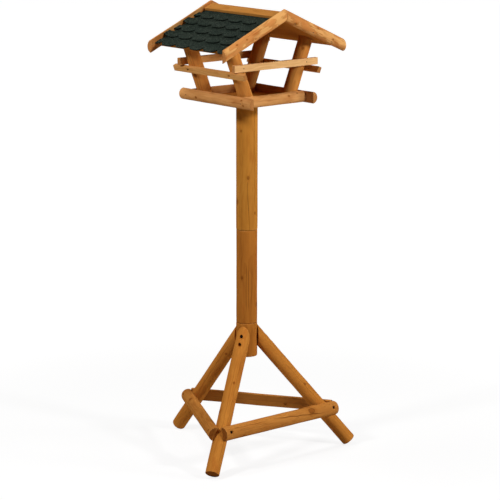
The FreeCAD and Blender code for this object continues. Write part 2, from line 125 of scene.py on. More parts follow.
def slope_axes(side):
    """Down the slope, and square away from it, on the left (-1) or right (+1) roof half."""
    down = side * math.cos(SLOPE) * X - math.sin(SLOPE) * Z
    lift = side * math.sin(SLOPE) * X + math.cos(SLOPE) * Z
    return down, lift


def roof_point(side, down, along, off):
    """The point this far down the slope, along the ridge and off the verge's middle."""
    fall, lift = slope_axes(side)
    return VERGE_TOP * Z + down * fall + along * Y + off * lift


# %% [markdown]
# Sections of the stock. A section is a closed run of points seen along the piece, anticlockwise. A turned
# log is a circle, a sawn half log is an arc closed by its flat, and a bar or board is a polygon. Sharp
# corners catch no light and look drawn, so each corner is an arc of about a millimetre. Points lie about
# SPACING apart, and the outer ones of a flat NEAR its ends, so that it is shaded flat.

# %% Sections
SPACING = 3 * MM
NEAR = 0.5 * MM
CORNER_POINTS = 5
HALF_ROUND_EDGE = 1.2 * MM
BAR_EDGE = 0.7 * MM
BOARD_EDGE = 0.6 * MM
RIDGE_EDGE = 0.9 * MM


def arc(centre, radius, start, stop, count):
    """Points on a circle: centre + radius * (cos a, sin a), a running evenly from start to stop."""
    angle = np.linspace(start, stop, count)
    return np.asarray(centre) + radius * np.stack([np.cos(angle), np.sin(angle)], axis=1)


def round_section(radius):
    """A full circle, left open by one step so that it closes on itself."""
    count = int(round(2 * math.pi * radius / SPACING))
    return arc((0, 0), radius, 0, 2 * math.pi, count + 1)[:-1]


def half_round_section(radius):
    """Half a circle over a flat on y = 0. The corner's arc touches the flat and the circle from inside,
    so its middle is at radius - edge from the circle's middle and at edge above the flat."""
    edge = HALF_ROUND_EDGE
    reach = math.sqrt((radius - edge) ** 2 - edge ** 2)
    touch = math.asin(edge / (radius - edge))
    count = int(math.pi * radius / SPACING)
    right = arc((reach, edge), edge, -math.pi / 2, touch, CORNER_POINTS)[:-1]
    crown = arc((0, 0), radius, touch, math.pi - touch, count)
    left = arc((-reach, edge), edge, math.pi - touch, 1.5 * math.pi, CORNER_POINTS)[1:]
    return np.concatenate([right, crown, left, side_points(left[-1], right[0])])


def side_points(start, stop):
    """Points between two corners, the first and last close to them, so that a flat is shaded flat."""
    length = np.linalg.norm(stop - start)
    inner = np.linspace(NEAR, length - NEAR, max(2, int(length / SPACING)))
    return start + (stop - start) * (inner / length)[:, None]


def polygon_section(corners, edge):
    """A convex polygon whose corners are arcs. Each arc's middle lies on the corner's bisector, at
    edge / sin(half the corner's angle), and the sides between them are cut into even steps."""
    corners = [np.asarray(c, float) for c in corners]
    runs = []
    for before, here, after in zip(corners[-1:] + corners[:-1], corners, corners[1:] + corners[:1]):
        back = (before - here) / np.linalg.norm(before - here)
        ahead = (after - here) / np.linalg.norm(after - here)
        half = 0.5 * math.acos(float(back @ ahead))
        middle = here + (back + ahead) / np.linalg.norm(back + ahead) * edge / math.sin(half)
        start = math.atan2(*(here + back * edge / math.tan(half) - middle)[::-1])
        turn = math.pi - 2 * half
        runs.append(arc(middle, edge, start, start + turn, CORNER_POINTS))
    points = []
    for run, following in zip(runs, runs[1:] + runs[:1]):
        points += [run, side_points(run[-1], following[0])]
    return np.concatenate(points)


# %% [markdown]
# Where a piece lies. A log is easiest to describe along its own grain, so each piece has its own directions:
# z along the grain, y towards its round or upper side, and x across.

# %% A piece's own directions


class Lay:
    """A piece's origin, and its x, y and z as the rows of axes."""

    def __init__(self, origin, along, up):
        along = along / np.linalg.norm(along)
        up = up - (up @ along) * along
        up = up / np.linalg.norm(up)
        self.origin = np.asarray(origin, float)
        self.axes = np.array([np.cross(up, along), up, along])

    def world(self, local):
        """Points of the piece in the room: origin + x * across + y * up + z * along."""
        return self.origin + local @ self.axes

    def local(self, world):
        """Points of the room in the piece's own directions."""
        return (world - self.origin) @ self.axes.T

    def cut(self, plane, section):
        """How far along the piece a plane (a point and its normal) meets the line over each section point."""
        point, normal = plane
        turned = self.axes @ normal
        level = (point - self.origin) @ normal
        return (level - section @ turned[:2]) / turned[2]


# %% [markdown]
# Marks in the wood. A knot is a branch, so it lies along a line from the pith outwards. A long line is a
# split or a dark streak that runs along the log. Each point of a surface needs its offset from the nearest
# of each, once for the swelling of the wood and again for its colour.

# %% Knots and long lines
KNOT_REACH = 3.2
KNOT_STRETCH = 0.7
LINE_REACH = 4 * MM
LINE_WAVER = 0.035
LINE_RIPPLE = 170


def knot_vectors(local, knots):
    """For each point, its offset from the nearest knot's axis: along the grain, across it, and the knot's
    radius, which falls to nothing past KNOT_REACH radii; and which way is across. A knot is given by its
    height on the log, its angle round it and its radius, the lengths in millimetres. It is longer than wide
    by 1 / KNOT_STRETCH."""
    offset = np.full((len(local), 3), 1.0)
    across = np.zeros((len(local), 3))
    nearest = np.full(len(local), KNOT_REACH)
    for height, degrees, radius in knots:
        out = compass(degrees)[:2]
        side = compass(degrees + 90)[:2]
        reach = local[:, :2] @ out
        slip = local[:, :2] @ side
        rise = local[:, 2] - height * MM
        distance = np.hypot(rise * KNOT_STRETCH, slip) / (radius * MM) + KNOT_REACH * (reach < 0)
        near = distance < nearest
        nearest = np.where(near, distance, nearest)
        offset[near] = np.stack([rise, slip, np.full(len(local), radius * MM)], axis=1)[near]
        across[near] = [*side, 0]
    offset[nearest >= KNOT_REACH, 2] = 0.01 * MM
    return offset, across


def line_vectors(local, lines):
    """For each point, its distance from the nearest long line on the log, the line's strength there, and
    its half width. A line is given by its first height and angle, its last ones, its half width and its
    strength, the lengths in millimetres. Its angle runs evenly from first to last, and wavers by
    LINE_WAVER * sin(height * LINE_RIPPLE). Its strength is nothing past LINE_REACH, so that two lines
    more than twice as far apart never meet."""
    found = np.full((len(local), 3), [LINE_REACH, 0.0, MM])
    nearest = np.full(len(local), np.inf)
    for start, first, stop, last, half_width, strength in lines:
        start, stop = start * MM, stop * MM
        share = np.clip((local[:, 2] - start) / (stop - start), 0, 1)
        waver = LINE_WAVER * np.sin(local[:, 2] * LINE_RIPPLE + first)
        angle = np.radians(first + (last - first) * share) + waver
        reach = local[:, 0] * np.cos(angle) + local[:, 1] * np.sin(angle)
        slip = local[:, 1] * np.cos(angle) - local[:, 0] * np.sin(angle)
        beyond = np.abs(local[:, 2] - (start + stop) / 2) - abs(stop - start) / 2
        apart = np.hypot(slip, np.maximum(beyond, 0)) + (reach <= 0)
        near = apart < nearest
        fade = np.minimum(1, 6 * np.minimum(share, 1 - share)) * strength * (apart < LINE_REACH)
        nearest = np.where(near, apart, nearest)
        found[near] = np.stack([slip, fade, np.full(len(local), half_width * MM)], axis=1)[near]
    return found


# %% [markdown]
# A sawn length of stock. Its side is the section carried along the piece, from one saw cut to the other.
# Both cuts are planes at any angle, so the same function gives a square end, a plumb cut against the mast
# and a mitre at the ridge: each line of the side simply ends where it meets the plane. The end face is the
# section drawn in towards its middle. The side also waves by a few tenths of a millimetre and swells a
# little over each knot, because a turned log is never a perfect cylinder.

# %% Meshes, ripples and end faces
CAP_RINGS = 6


def mesh_object(name, points, *face_sets):
    """A smooth mesh object from an array of points and arrays of corner numbers, in threes or fours."""
    mesh = bpy.data.meshes.new(name)
    mesh.from_pydata(points.tolist(), [], [face for faces in face_sets for face in faces.tolist()])
    mesh.shade_smooth()
    piece = bpy.data.objects.new(name, mesh)
    bpy.context.scene.collection.objects.link(piece)
    return piece


def grid_faces(rows, columns, first=0):
    """Faces of a grid whose columns close on themselves: each joins two neighbours in two rows."""
    row = np.arange(rows - 1)[:, None] * columns
    here = np.arange(columns)[None, :]
    after = (here + 1) % columns
    corners = np.stack([row + here, row + after, row + columns + after, row + columns + here], axis=-1)
    return corners.reshape(-1, 4) + first


def wave(along, angle, draw):
    """The mean of four slow ripples, each sin(2 pi * along / length + turns * angle + start)."""
    total = 0
    for _ in range(4):
        length = draw.uniform(60, 190) * MM
        turns = draw.integers(0, 3)
        total = total + np.sin(2 * math.pi * along / length + turns * angle + draw.uniform(0, 6.3))
    return total / 4


def end_cap(lay, plane, rim, middle):
    """An end face: rings of the rim drawn in towards the middle on the cut's plane, and the middle itself."""
    near = 1 - NEAR / np.linalg.norm(rim - middle, axis=1).min()
    draw_in = np.linspace(near, 0, CAP_RINGS + 1)[:-1]
    plan = middle + (rim[None] - middle) * draw_in[:, None, None]
    level = lay.cut(plane, plan.reshape(-1, 2)).reshape(plan.shape[:2])
    centre = np.append(middle, lay.cut(plane, middle[None])[0])
    return np.concatenate([plan, level[..., None]], axis=-1), centre


# %% A length of stock between two saw cuts
ARRIS_STEPS = 4
SWELL = 0.8
SWELL_REACH = 1.6


def sawn(name, lay, section, low, high, seed, knots, edge, uneven):
    """A length of stock. Side point = section point pushed in by uneven * (1 - ripples), at a distance along
    the piece that runs evenly from one cut to the other. Near a cut the section shrinks by
    edge * (1 - cos a) while the distance to the cut falls to edge * (1 - sin a), which rounds the arris.
    Over a knot it swells by SWELL * uneven, fading as exp(-(distance / SWELL_REACH radii) ** 2)."""
    draw = np.random.default_rng(seed)
    step = np.roll(section, -1, axis=0) - np.roll(section, 1, axis=0)
    normal = np.stack([step[:, 1], -step[:, 0]], axis=1) / np.linalg.norm(step, axis=1)[:, None]
    middle = section.mean(axis=0)
    length = float(np.max(lay.cut(high, section) - lay.cut(low, section)))
    rows = max(6, int(length / SPACING))
    turn = np.linspace(0, math.pi / 2, ARRIS_STEPS)
    drop = edge * (1 - np.cos(turn))
    gap = edge * (1 - np.sin(turn))
    shrink = np.concatenate([drop[::-1], np.zeros(rows - 2), drop])
    inset = np.concatenate([gap[::-1], np.full(rows - 2, edge), gap])
    share = np.concatenate([np.zeros(ARRIS_STEPS), np.linspace(0, 1, rows)[1:-1], np.ones(ARRIS_STEPS)])
    flat = section[None] - normal[None] * shrink[:, None, None]
    start = lay.cut(low, flat.reshape(-1, 2)).reshape(flat.shape[:2])
    stop = lay.cut(high, flat.reshape(-1, 2)).reshape(flat.shape[:2])
    along = (start + inset[:, None]) * (1 - share[:, None]) + (stop - inset[:, None]) * share[:, None]
    angle = np.arctan2(section[:, 1] - middle[1], section[:, 0] - middle[0])
    ripple = uneven * (wave(along, angle[None], draw) - 1)
    body = np.concatenate([flat + normal[None] * ripple[..., None], along[..., None]], axis=-1)
    if len(knots):
        offset = knot_vectors(body.reshape(-1, 3), knots)[0].reshape(body.shape)
        swell = np.exp(-((offset[..., 0] ** 2 + offset[..., 1] ** 2) / (SWELL_REACH * offset[..., 2]) ** 2))
        body[..., :2] += normal[None] * (SWELL * uneven * swell)[..., None]
    low_cap, low_centre = end_cap(lay, low, body[0, :, :2], middle)
    high_cap, high_centre = end_cap(lay, high, body[-1, :, :2], middle)
    stack = np.concatenate([low_cap[::-1], body, high_cap])
    points = np.concatenate([stack.reshape(-1, 3), low_centre[None], high_centre[None]])
    columns = len(section)
    here = np.arange(columns)
    after = (here + 1) % columns
    pole = len(stack) * columns
    low_fan = np.stack([after, here, np.full(columns, pole)], axis=1)
    high_fan = np.stack([pole - columns + here, pole - columns + after, np.full(columns, pole + 1)], axis=1)
    return mesh_object(name, lay.world(points), grid_faces(len(stack), columns), low_fan, high_fan)


# %% [markdown]
# Screw holes. In the photograph the screws sit deep in dark holes, so these are real holes: a Boolean
# modifier takes a small flared cylinder away for each, and its result is kept as the piece's mesh.
# A painted dark dot would be quicker, but it has no rim and stays flat when seen from the side.

# %% Turned shapes and holes
HEAD_ROOM = 1.5 * MM
FLARE = 1.34
FLARE_DEPTH = 0.8 * MM


def merge_points(piece):
    """Join points that share a place, which closes the poles of turned shapes."""
    work = bmesh.new()
    work.from_mesh(piece.data)
    bmesh.ops.remove_doubles(work, verts=work.verts, dist=0.001 * MM)
    bmesh.ops.recalc_face_normals(work, faces=work.faces)
    work.to_mesh(piece.data)
    work.free()


def turned_shape(name, seats, profile, columns=24):
    """Turned shapes, one at each seat (a point and a direction): the profile's (depth, radius) pairs go
    round the seat's axis, at depth along the direction. The first and last radius is zero."""
    angle = np.linspace(0, 2 * math.pi, columns + 1)[:-1]
    profile = np.asarray(profile, float)
    points, faces = [], []
    for number, (point, direction) in enumerate(seats):
        side = np.cross(direction, Z if abs(direction[2]) < 0.9 else X)
        side = side / np.linalg.norm(side)
        ring = np.cos(angle)[:, None] * side + np.sin(angle)[:, None] * np.cross(direction, side)
        body = profile[:, None, :1] * direction + profile[:, None, 1:] * ring[None]
        points.append(point + body.reshape(-1, 3))
        faces.append(grid_faces(len(profile), columns, number * len(profile) * columns))
    piece = mesh_object(name, np.concatenate(points), np.concatenate(faces))
    merge_points(piece)
    return piece


def bore(piece, seats, radius, depth):
    """Take a hole out of the piece at each seat: a cylinder that flares by a third over its first 0.8 mm.
    The head's top lies at this depth, and the hole runs on past it, so the socket stays open."""
    above = -4 * MM
    bottom = depth + HEAD_ROOM
    outline = [(above, 0), (above, FLARE * radius), (0, FLARE * radius),
               (FLARE_DEPTH, radius), (bottom, radius), (bottom, 0)]
    cutter = turned_shape("cutter", seats, outline)
    cut = piece.modifiers.new("holes", "BOOLEAN")
    cut.operation = "DIFFERENCE"
    cut.solver = "EXACT"
    cut.object = cutter
    bpy.context.view_layer.update()
    ready = piece.evaluated_get(bpy.context.evaluated_depsgraph_get())
    mesh = bpy.data.meshes.new_from_object(ready)
    piece.modifiers.clear()
    piece.data = mesh
    bpy.data.objects.remove(cutter)


# %% [markdown]
# The grain is solid: the wood is one block of pattern and each face shows where it cuts that block, as on
# a real board. The pattern needs the piece's own directions, so each point carries its place measured from
# the pith, its offset from the nearest knot, and marks for end grain and for worn edges. All of it is
# worked out from the finished mesh, holes included, and stored as attributes that the material reads.

# %% Grain marks on each point
SEED_APART = 1.7
HOLE_CLEAR = 2.5
WEAR_FROM = 0.008
WEAR_SPAN = 0.025
FLAT_FROM = 0.9
FLAT_SPAN = 0.08


def read(items, key, width=1, kind=np.float32):
    """One property of a mesh's points, corners or faces as an array."""
    values = np.empty(len(items) * width, kind)
    items.foreach_get(key, values)
    return values.reshape(-1, width) if width > 1 else values


def store(mesh, key, values):
    """Keep a number or a vector for each point as an attribute that a material can read."""
    kind, field = ("FLOAT_VECTOR", "vector") if values.ndim > 1 else ("FLOAT", "value")
    layer = mesh.attributes.new(key, kind, "POINT")
    layer.data.foreach_set(field, values.astype(np.float32).ravel())


def arris_wear(mesh, count):
    """How sharply the surface turns at each point, by 1 - the length of the mean of its faces' normals: 0 up
    to WEAR_FROM, and 1 from WEAR_SPAN beyond it."""
    point = read(mesh.loops, "vertex_index", kind=np.int32)
    corners = read(mesh.polygons, "loop_total", kind=np.int32)
    normal = np.repeat(read(mesh.polygons, "normal", 3), corners, axis=0)
    total = np.stack([np.bincount(point, normal[:, axis], count) for axis in range(3)], axis=1)
    mean = total / np.maximum(np.bincount(point, minlength=count), 1)[:, None]
    return np.clip((1 - np.linalg.norm(mean, axis=1) - WEAR_FROM) / WEAR_SPAN, 0, 1)


def lay_grain(piece, lay, seed, knots, lines, pith, holes):
    """Store six attributes. grain: the point in the piece's own directions, from the pith, moved along by
    its seed so that no two pieces match. knot: the offset from the nearest knot, and its radius. sense: the
    way across at that knot, and how far the surface faces along the grain. line: the distance from the
    nearest long line, its strength and half width. flat: 1 on the sawn flat of a half log. worn: 1 on an
    arris that hands rub, so not on the rims of holes."""
    mesh = piece.data
    points = read(mesh.vertices, "co", 3).astype(float)
    normals = read(mesh.vertices, "normal", 3).astype(float)
    local = lay.local(points)
    offset, across = knot_vectors(local, knots)
    across[:, 2] = np.abs(normals @ lay.axes[2])
    worn = arris_wear(mesh, len(points))
    for seats, radius, _ in holes:
        for point, direction in seats:
            reach = points - point
            off = np.linalg.norm(reach - np.outer(reach @ direction, direction), axis=1)
            worn[off < HOLE_CLEAR * radius] = 0
    store(mesh, "grain", local - np.array([pith[0] * MM, pith[1] * MM, -SEED_APART * seed]))
    store(mesh, "knot", offset)
    store(mesh, "sense", across)
    store(mesh, "line", line_vectors(local, lines))
    store(mesh, "flat", np.clip((-(normals @ lay.axes[1]) - FLAT_FROM) / FLAT_SPAN, 0, 1))
    store(mesh, "worn", worn)


# %% [markdown]
# Putting a piece in place of its CAD node. Each wooden piece is made in the same order: sawn, bored, marked
# with its grain and stained. Its seed fixes its ripples and the part of the block it was cut from. The table
# gives each kind of stock its shape, slot and first seed, and then in millimetres its pith, across and up
# from its own axis, the radius of its arris and how far its side is out of true.

# %% One wooden piece
STOCK = {
    "mast": ("log", "mast_wood", 1, (2, -3), 1.8, 0.2),
    "leg": ("log", "leg_wood", 10, (-2, 3), 1.2, 0.3),
    "stretcher": ("half_log", "leg_wood", 20, (1, -2), 1.2, 0.3),
    "floor": ("plank", "board_wood", 30, (20, -70), 0.6, 0.1),
    "rail": ("half_log", "rail_wood", 40, (1, -1), 1.2, 0.3),
    "post": ("log", "rail_wood", 50, (-1, 2), 1.2, 0.3),
    "gable_perch": ("bar", "slat_wood", 60, (9, -34), 0.8, 0.15),
    "eave_perch": ("bar", "slat_wood", 62, (-8, -30), 0.8, 0.15),
    "roof_board": ("panel", "board_wood", 70, (60, -90), 0.6, 0.1),
    "ridge_board": ("plank", "board_wood", 72, (10, -45), 0.8, 0.1),
    "verge": ("half_log", "rail_wood", 80, (-1, -2), 1.5, 0.3),
}


def fit(piece, node):
    """The new piece stands for its CAD node: ride, replace, and print how far the two boxes differ."""
    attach(piece, "root")
    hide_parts(node)
    low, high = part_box(node)
    points = read(piece.data.vertices, "co", 3)
    apart = np.abs(np.concatenate([points.min(0) - np.array(low), points.max(0) - np.array(high)])).max()
    print(f"{piece.name}: {len(piece.data.polygons)} faces, {apart / MM:.2f} mm from its CAD box")


def timber(kind, number, node, stained, lay, section, cuts, marks=((), ()), holes=()):
    """One wooden piece between two cuts. marks are its knots and long lines, and each of its holes is a
    list of seats with a radius and a depth."""
    shape, slot, seed, pith, arris, uneven = STOCK[kind]
    knots, lines = marks
    piece = sawn(f"{node}_{shape}", lay, section, *cuts, seed + number, knots, arris * MM, uneven * MM)
    for seats, radius, depth in holes:
        bore(piece, seats, radius, depth)
    lay_grain(piece, lay, seed + number, knots, lines, pith, holes)
    piece.data.materials.clear()
    piece.data.materials.append(stained)
    fit(piece, node)


# %% [markdown]
# Shader sums as Python. A Wire is one socket of a material. Adding or multiplying Wires adds Math nodes,
# or Vector Math nodes where a vector is involved, so a pattern reads like the formula it is.

# %% A socket that can be added and multiplied


class Wire:
    """A socket of a material's nodes, or only the tree of nodes when there is no socket yet."""

    def __init__(self, tree, socket=None):
        self.tree = tree
        self.socket = socket

    def feed(self, made, inputs):
        """Link Wires to a node's inputs, or set values on them, by number or name."""
        for key, value in inputs.items():
            target = made.inputs[key]
            if isinstance(value, Wire):
                self.tree.links.new(value.socket, target)
            elif target.type == "VECTOR" and not hasattr(value, "__len__"):
                target.default_value = (value, value, value)
            else:
                target.default_value = value

    def node(self, kind, settings, inputs, out=0):
        """Add a node, its settings first, and give one of its outputs."""
        made = self.tree.nodes.new(kind)
        for key, value in settings.items():
            setattr(made, key, value)
        self.feed(made, inputs)
        return Wire(self.tree, made.outputs[out])

    def sum(self, operation, first, second):
        """A Math node, or a Vector Math node if either value is a vector or a colour."""
        sockets = [value.socket.type for value in (first, second) if isinstance(value, Wire)]
        kind = "ShaderNodeMath" if set(sockets) == {"VALUE"} else "ShaderNodeVectorMath"
        return self.node(kind, {"operation": operation}, {0: first, 1: second})

    def __add__(self, other):
        return self.sum("ADD", self, other)

    def __radd__(self, other):
        return self.sum("ADD", other, self)

    def __sub__(self, other):
        return self.sum("SUBTRACT", self, other)

    def __rsub__(self, other):
        return self.sum("SUBTRACT", other, self)

    def __mul__(self, other):
        return self.sum("MULTIPLY", self, other)

    def __rmul__(self, other):
        return self.sum("MULTIPLY", other, self)

    def __truediv__(self, other):
        return self.sum("DIVIDE", self, other)

    def maths(self, operation, other=0.0):
        """Any other sum of a Math node, such as ABSOLUTE or FRACT."""
        return self.node("ShaderNodeMath", {"operation": operation}, {0: self, 1: other})

    def part(self, axis):
        """One of a vector's three numbers."""
        return self.node("ShaderNodeSeparateXYZ", {}, {0: self}, out=axis)

    def length(self):
        return self.node("ShaderNodeVectorMath", {"operation": "LENGTH"}, {0: self}, out="Value")

    def ease(self, start, stop, low=0.0, high=1.0):
        """A smooth step from low to high as the value goes from start to stop."""
        return self.node("ShaderNodeMapRange", {"interpolation_type": "SMOOTHSTEP"},
                         {"Value": self, "From Min": start, "From Max": stop, "To Min": low, "To Max": high})

    def noise(self, stretch, detail=2.0, rough=0.5, out="Fac"):
        """Noise with this many waves to the metre, one number or three, and about 0.5 on average."""
        return self.node("ShaderNodeTexNoise", {},
                         {"Vector": self * stretch, "Scale": 1.0, "Detail": detail, "Roughness": rough}, out)

    def cells(self, scale, out="Distance"):
        """Cells, this many to the metre: the distance from the nearest one's middle, or its colour."""
        return self.node("ShaderNodeTexVoronoi", {}, {"Vector": self, "Scale": scale}, out)

    def blend(self, first, second):
        """Mix two colours, this Wire being the share of the second."""
        return self.node("ShaderNodeMix", {"data_type": "RGBA"}, {"Factor": self, 6: first, 7: second}, out=2)

    def bump(self, strength, distance):
        """The normal of a surface whose height is this Wire times the distance."""
        return self.node("ShaderNodeBump", {}, {"Strength": strength, "Distance": distance, "Height": self},
                         out="Normal")

    def attribute(self, name, out="Vector"):
        """What store() kept for each point under this name."""
        return self.node("ShaderNodeAttribute", {"attribute_name": name}, {}, out)

    def place(self):
        """The point's place on the piece, in metres."""
        return self.node("ShaderNodeTexCoord", {}, {}, out="Object")


def stain(red, green, blue):
    """A colour written as 0 to 255 screen values, in the linear light that shaders use."""
    share = np.array([red, green, blue]) / 255
    linear = np.where(share <= 0.04045, share / 12.92, ((share + 0.055) / 1.055) ** 2.4)
    return (*linear.tolist(), 1.0)


def material(name):
    """A new material, a first Wire of its tree, and its shader node."""
    made = bpy.data.materials.new(name)
    made.use_nodes = True
    tree = made.node_tree
    return made, Wire(tree), tree.nodes["Principled BSDF"]


# %% [markdown]
# Stained pine. Pine is pale early wood with thin dark late wood, ring after ring around the pith, and
# fine fibres along it. The honey stain goes in unevenly: deep in end grain and around knots, thin on worn
# edges. The rings are distances from the pith, bent by slow noise so that they run out as long flames on
# a turned face, and pushed aside around each knot like water around a stone.

# %% Rings and end cracks


def late_wood(flow, ring, flame):
    """How far each point is into the dark late wood of its year. The year is the distance from the pith,
    bent by slow noise, over one year's growth."""
    bend = flow.noise((38, 38, 7), out="Color") - 0.5
    bent = flow * (1, 1, 0) + bend * (4 * flame, 4 * flame, 0)
    years = bent.length() / ring + flow.noise((90, 90, 9), 1) * 0.5
    phase = years.maths("FRACT")
    strength = flow.noise((30, 30, 5), 1).ease(0.3, 0.7, 0.35, 1.0)
    return phase.ease(0.35, 0.93) * phase.ease(1.0, 0.95) * strength


def end_cracks(here, grain):
    """Thin cracks from the pith outwards: places where noise over the angle round the pith is near 0.5."""
    angle = (grain.part(1) / (grain.part(0).maths("ABSOLUTE") + 0.01 * MM)).maths("ARCTANGENT")
    turned = here.node("ShaderNodeCombineXYZ", {}, {0: angle, 1: grain.part(2)})
    split = turned.noise((2.2, 0.5, 0), 1) - 0.5
    return split.maths("ABSOLUTE").ease(0.005, 0.001) * (angle * 1.3).maths("SINE").ease(0.2, 0.8)


# %% Wood finish
POOLED = stain(164, 84, 30)
UNCUT = stain(206, 122, 58)
# Painted shade: the sawn flats of the half logs face into the tray and under the roof, and are darkened
# towards this colour. A little of it is deeper stain.
FLAT_SHADE = stain(118, 58, 12)
KNOT_PALE = stain(150, 84, 34)
KNOT_DEEP = stain(84, 40, 12)
BARK = stain(58, 26, 7)
CRACK = stain(60, 28, 8)
RUBBED = stain(228, 178, 112)


def stained_pine(name, pale, deep, ends, ring=2.3 * MM, flame=2.6 * MM, shaved=0.0, warm=0.5, marked=1.0,
                 cracked=0.7, flat_shade=0.0):
    """pale and deep are the stained early and late wood, and ends are the same on end grain. ring is one
    year's growth, flame how far slow noise bends the rings, shaved how much the drawknife's cuts show, warm
    how red the stain is where it pooled, marked how strong the grain is on the sides, cracked how dark the
    end grain's cracks are, and soaked how far a sawn flat is darkened: painted shade, with a little deeper
    stain."""
    made, here, shader = material("stained_pine_" + name)
    pale, deep, end_pale, end_deep = (stain(*colour) for colour in (pale, deep, *ends))
    grain, knot, sense, line = (here.attribute(key) for key in ("grain", "knot", "sense", "line"))
    flat = here.attribute("flat", out="Fac")
    worn = here.attribute("worn", out="Fac")

    rise, slip, radius = (knot.part(axis) for axis in range(3))
    squared = rise * rise * 0.5 + slip * slip
    distance = squared.maths("SQRT")
    away = distance / radius
    push = slip * radius * radius / squared.maths("MAXIMUM", radius * radius) * away.ease(KNOT_REACH, 1.0)
    flow = grain - sense * (1, 1, 0) * push

    late = late_wood(flow, ring, flame)
    fibre = flow.noise((1500, 1500, 26), 3, 0.6) - 0.5
    streak = flow.noise((230, 230, 4)).ease(0.35, 0.75)
    cloud = grain.noise((30, 30, 14), 3, 0.55) - 0.5
    pool = grain.noise((52, 52, 17)).ease(0.52, 0.72)
    speck = grain.noise(260)

    across = (line.part(0) + fibre * 0.6 * MM).maths("ABSOLUTE") / line.part(2)
    drawn = across.ease(1.6, 0.7) * line.part(1)
    beside = across.ease(7.0, 1.0) * line.part(1)
    check = (flow.noise((42, 42, 1.1), 1, 0.4) - 0.5).maths("ABSOLUTE").ease(0.0035, 0.001)
    check = check * grain.noise((13, 13, 7), 0).ease(0.60, 0.68) * away.ease(2.4, KNOT_REACH)

    knife = grain.noise((95, 95, 24))
    cut = knife.ease(0.44, 0.53)
    rim = knife.ease(0.46, 0.50) * knife.ease(0.56, 0.51)
    core = away.ease(1.05, 0.85)
    halo = away.ease(2.8, 1.0)
    bark = away.ease(0.8, 0.97) * away.ease(1.25, 1.02) * speck.ease(0.3, 0.6, 0.35, 1.0)
    knot_ring = (distance / (0.9 * MM) + speck * 1.6).maths("FRACT").ease(0.3, 1.0)

    tone = 0.3 + ((late - 0.25) * 0.36 + fibre * 0.5 + (streak - 0.4) * 0.2) * marked + cloud * 0.7
    tone = tone + shaved * (rim * 0.4 - cut * 0.25) + beside * 0.2
    tone = tone + halo * 0.3 + core * (0.2 + knot_ring * 0.3)
    dark = (bark * 0.6).maths("MAXIMUM", drawn * 0.8).maths("MAXIMUM", check * 0.85)
    colour = tone.blend(pale, deep)
    colour = (pool * warm * 0.6).blend(colour, POOLED)
    colour = ((1 - cut) * shaved * 0.5).blend(colour, UNCUT)
    # Painted shade on the sawn flats, which face into the tray and under the roof, with a little deeper
    # stain.
    colour = (flat * flat_shade).blend(colour, FLAT_SHADE)
    colour = (core * 0.4).blend(colour, knot_ring.blend(KNOT_PALE, KNOT_DEEP))
    colour = dark.blend(colour, BARK)

    end = sense.part(2).ease(0.55, 0.9)
    crack = end_cracks(here, grain) * end * cracked
    colour = (end * 0.9).blend(colour, (0.3 + late * 0.8 + fibre * 0.8).blend(end_pale, end_deep))
    colour = crack.blend(colour, CRACK)
    colour = (worn * grain.noise(300, 3).ease(0.45, 0.7) * 0.4).blend(colour, RUBBED)

    hollow = dark * 1.3 + crack * 1.6
    height = fibre * 0.35 + late * 0.22 + cloud * 0.35 + core * 0.25 + cut * 0.5 * shaved - hollow
    rough = 0.52 + fibre * 0.25 + end * 0.22 - late * 0.04 + worn * 0.05
    here.feed(shader, {"Base Color": colour, "Roughness": rough, "Normal": height.bump(0.55, 0.35 * MM),
                       "Specular IOR Level": 0.0})
    return made


# %% The finishes of the pieces
STAND_ENDS = ((158, 92, 36), (92, 42, 10))
HOUSE_ENDS = ((208, 146, 86), (150, 86, 38))
# Painted shade: darker end grain for the perches that take the shaded copy of the perch wood.
SHADED_BAR_ENDS = ((200, 138, 78), (145, 83, 36))
POLE = stained_pine("mast", (203, 137, 55), (165, 99, 32), STAND_ENDS, marked=0.8)
POLE_DEEP = stained_pine("mast_deep", (189, 119, 47), (147, 83, 27), STAND_ENDS, marked=0.85)
LEG = stained_pine("legs", (208, 137, 58), (165, 93, 31), STAND_ENDS, warm=0.6, marked=0.6)
STRETCHER = stained_pine("stretchers", (203, 136, 64), (160, 93, 34), STAND_ENDS, warm=0.3, marked=0.6)
RAIL = stained_pine("rails", (231, 170, 104), (175, 106, 48), HOUSE_ENDS, warm=0.7, marked=0.65, flat_shade=0.2)
POST = stained_pine("posts", (216, 147, 72), (162, 90, 32), HOUSE_ENDS, marked=0.7)
SHAVED = stained_pine("verges", (234, 174, 104), (180, 106, 46), HOUSE_ENDS, shaved=1.0, warm=1.0,
                      marked=0.55, flat_shade=0.25)
CLEAR = {"ring": 1.6 * MM, "cracked": 0.0}
# The perch bars are one wood in two copies. The front gable perch is made lighter as painted light, and the
# back and eave perches are made darker, end grain too, as painted shade.
SLAT_LIT = stained_pine("front_perch_lit", (243, 195, 134), (204, 146, 82), HOUSE_ENDS, warm=0.2, **CLEAR)
SLAT_SHADED = stained_pine("perches_shaded", (224, 166, 98), (184, 120, 56), SHADED_BAR_ENDS, warm=0.4, **CLEAR)
PLANKS = {"ring": 1.3 * MM, "flame": 1.2 * MM, "warm": 0.3, "cracked": 0.0}
# The roof boards and the floor board are seen only from below or inside the tray. They are made deeper and
# redder than the rest of the house's wood, as painted shade.
SHADED_BOARD = stained_pine("boards", (205, 135, 60), (160, 95, 34), HOUSE_ENDS, **PLANKS)
RIDGE = stained_pine("ridge", (204, 140, 68), (159, 97, 37), HOUSE_ENDS, **PLANKS)
print("finishes:", sorted(made.name for made in bpy.data.materials))

# %% [markdown]
# The mast: three turned sections, end to end. The lower two took more stain. The rounded arrises leave a
# thin dark line at each joint, which is all that shows of the dowel inside.

# %% Mast


def level(height):
    """A level saw cut at this height: a point of its plane and the plane's normal."""
    return height * Z, Z


upright = Lay(np.zeros(3), Z, Y)
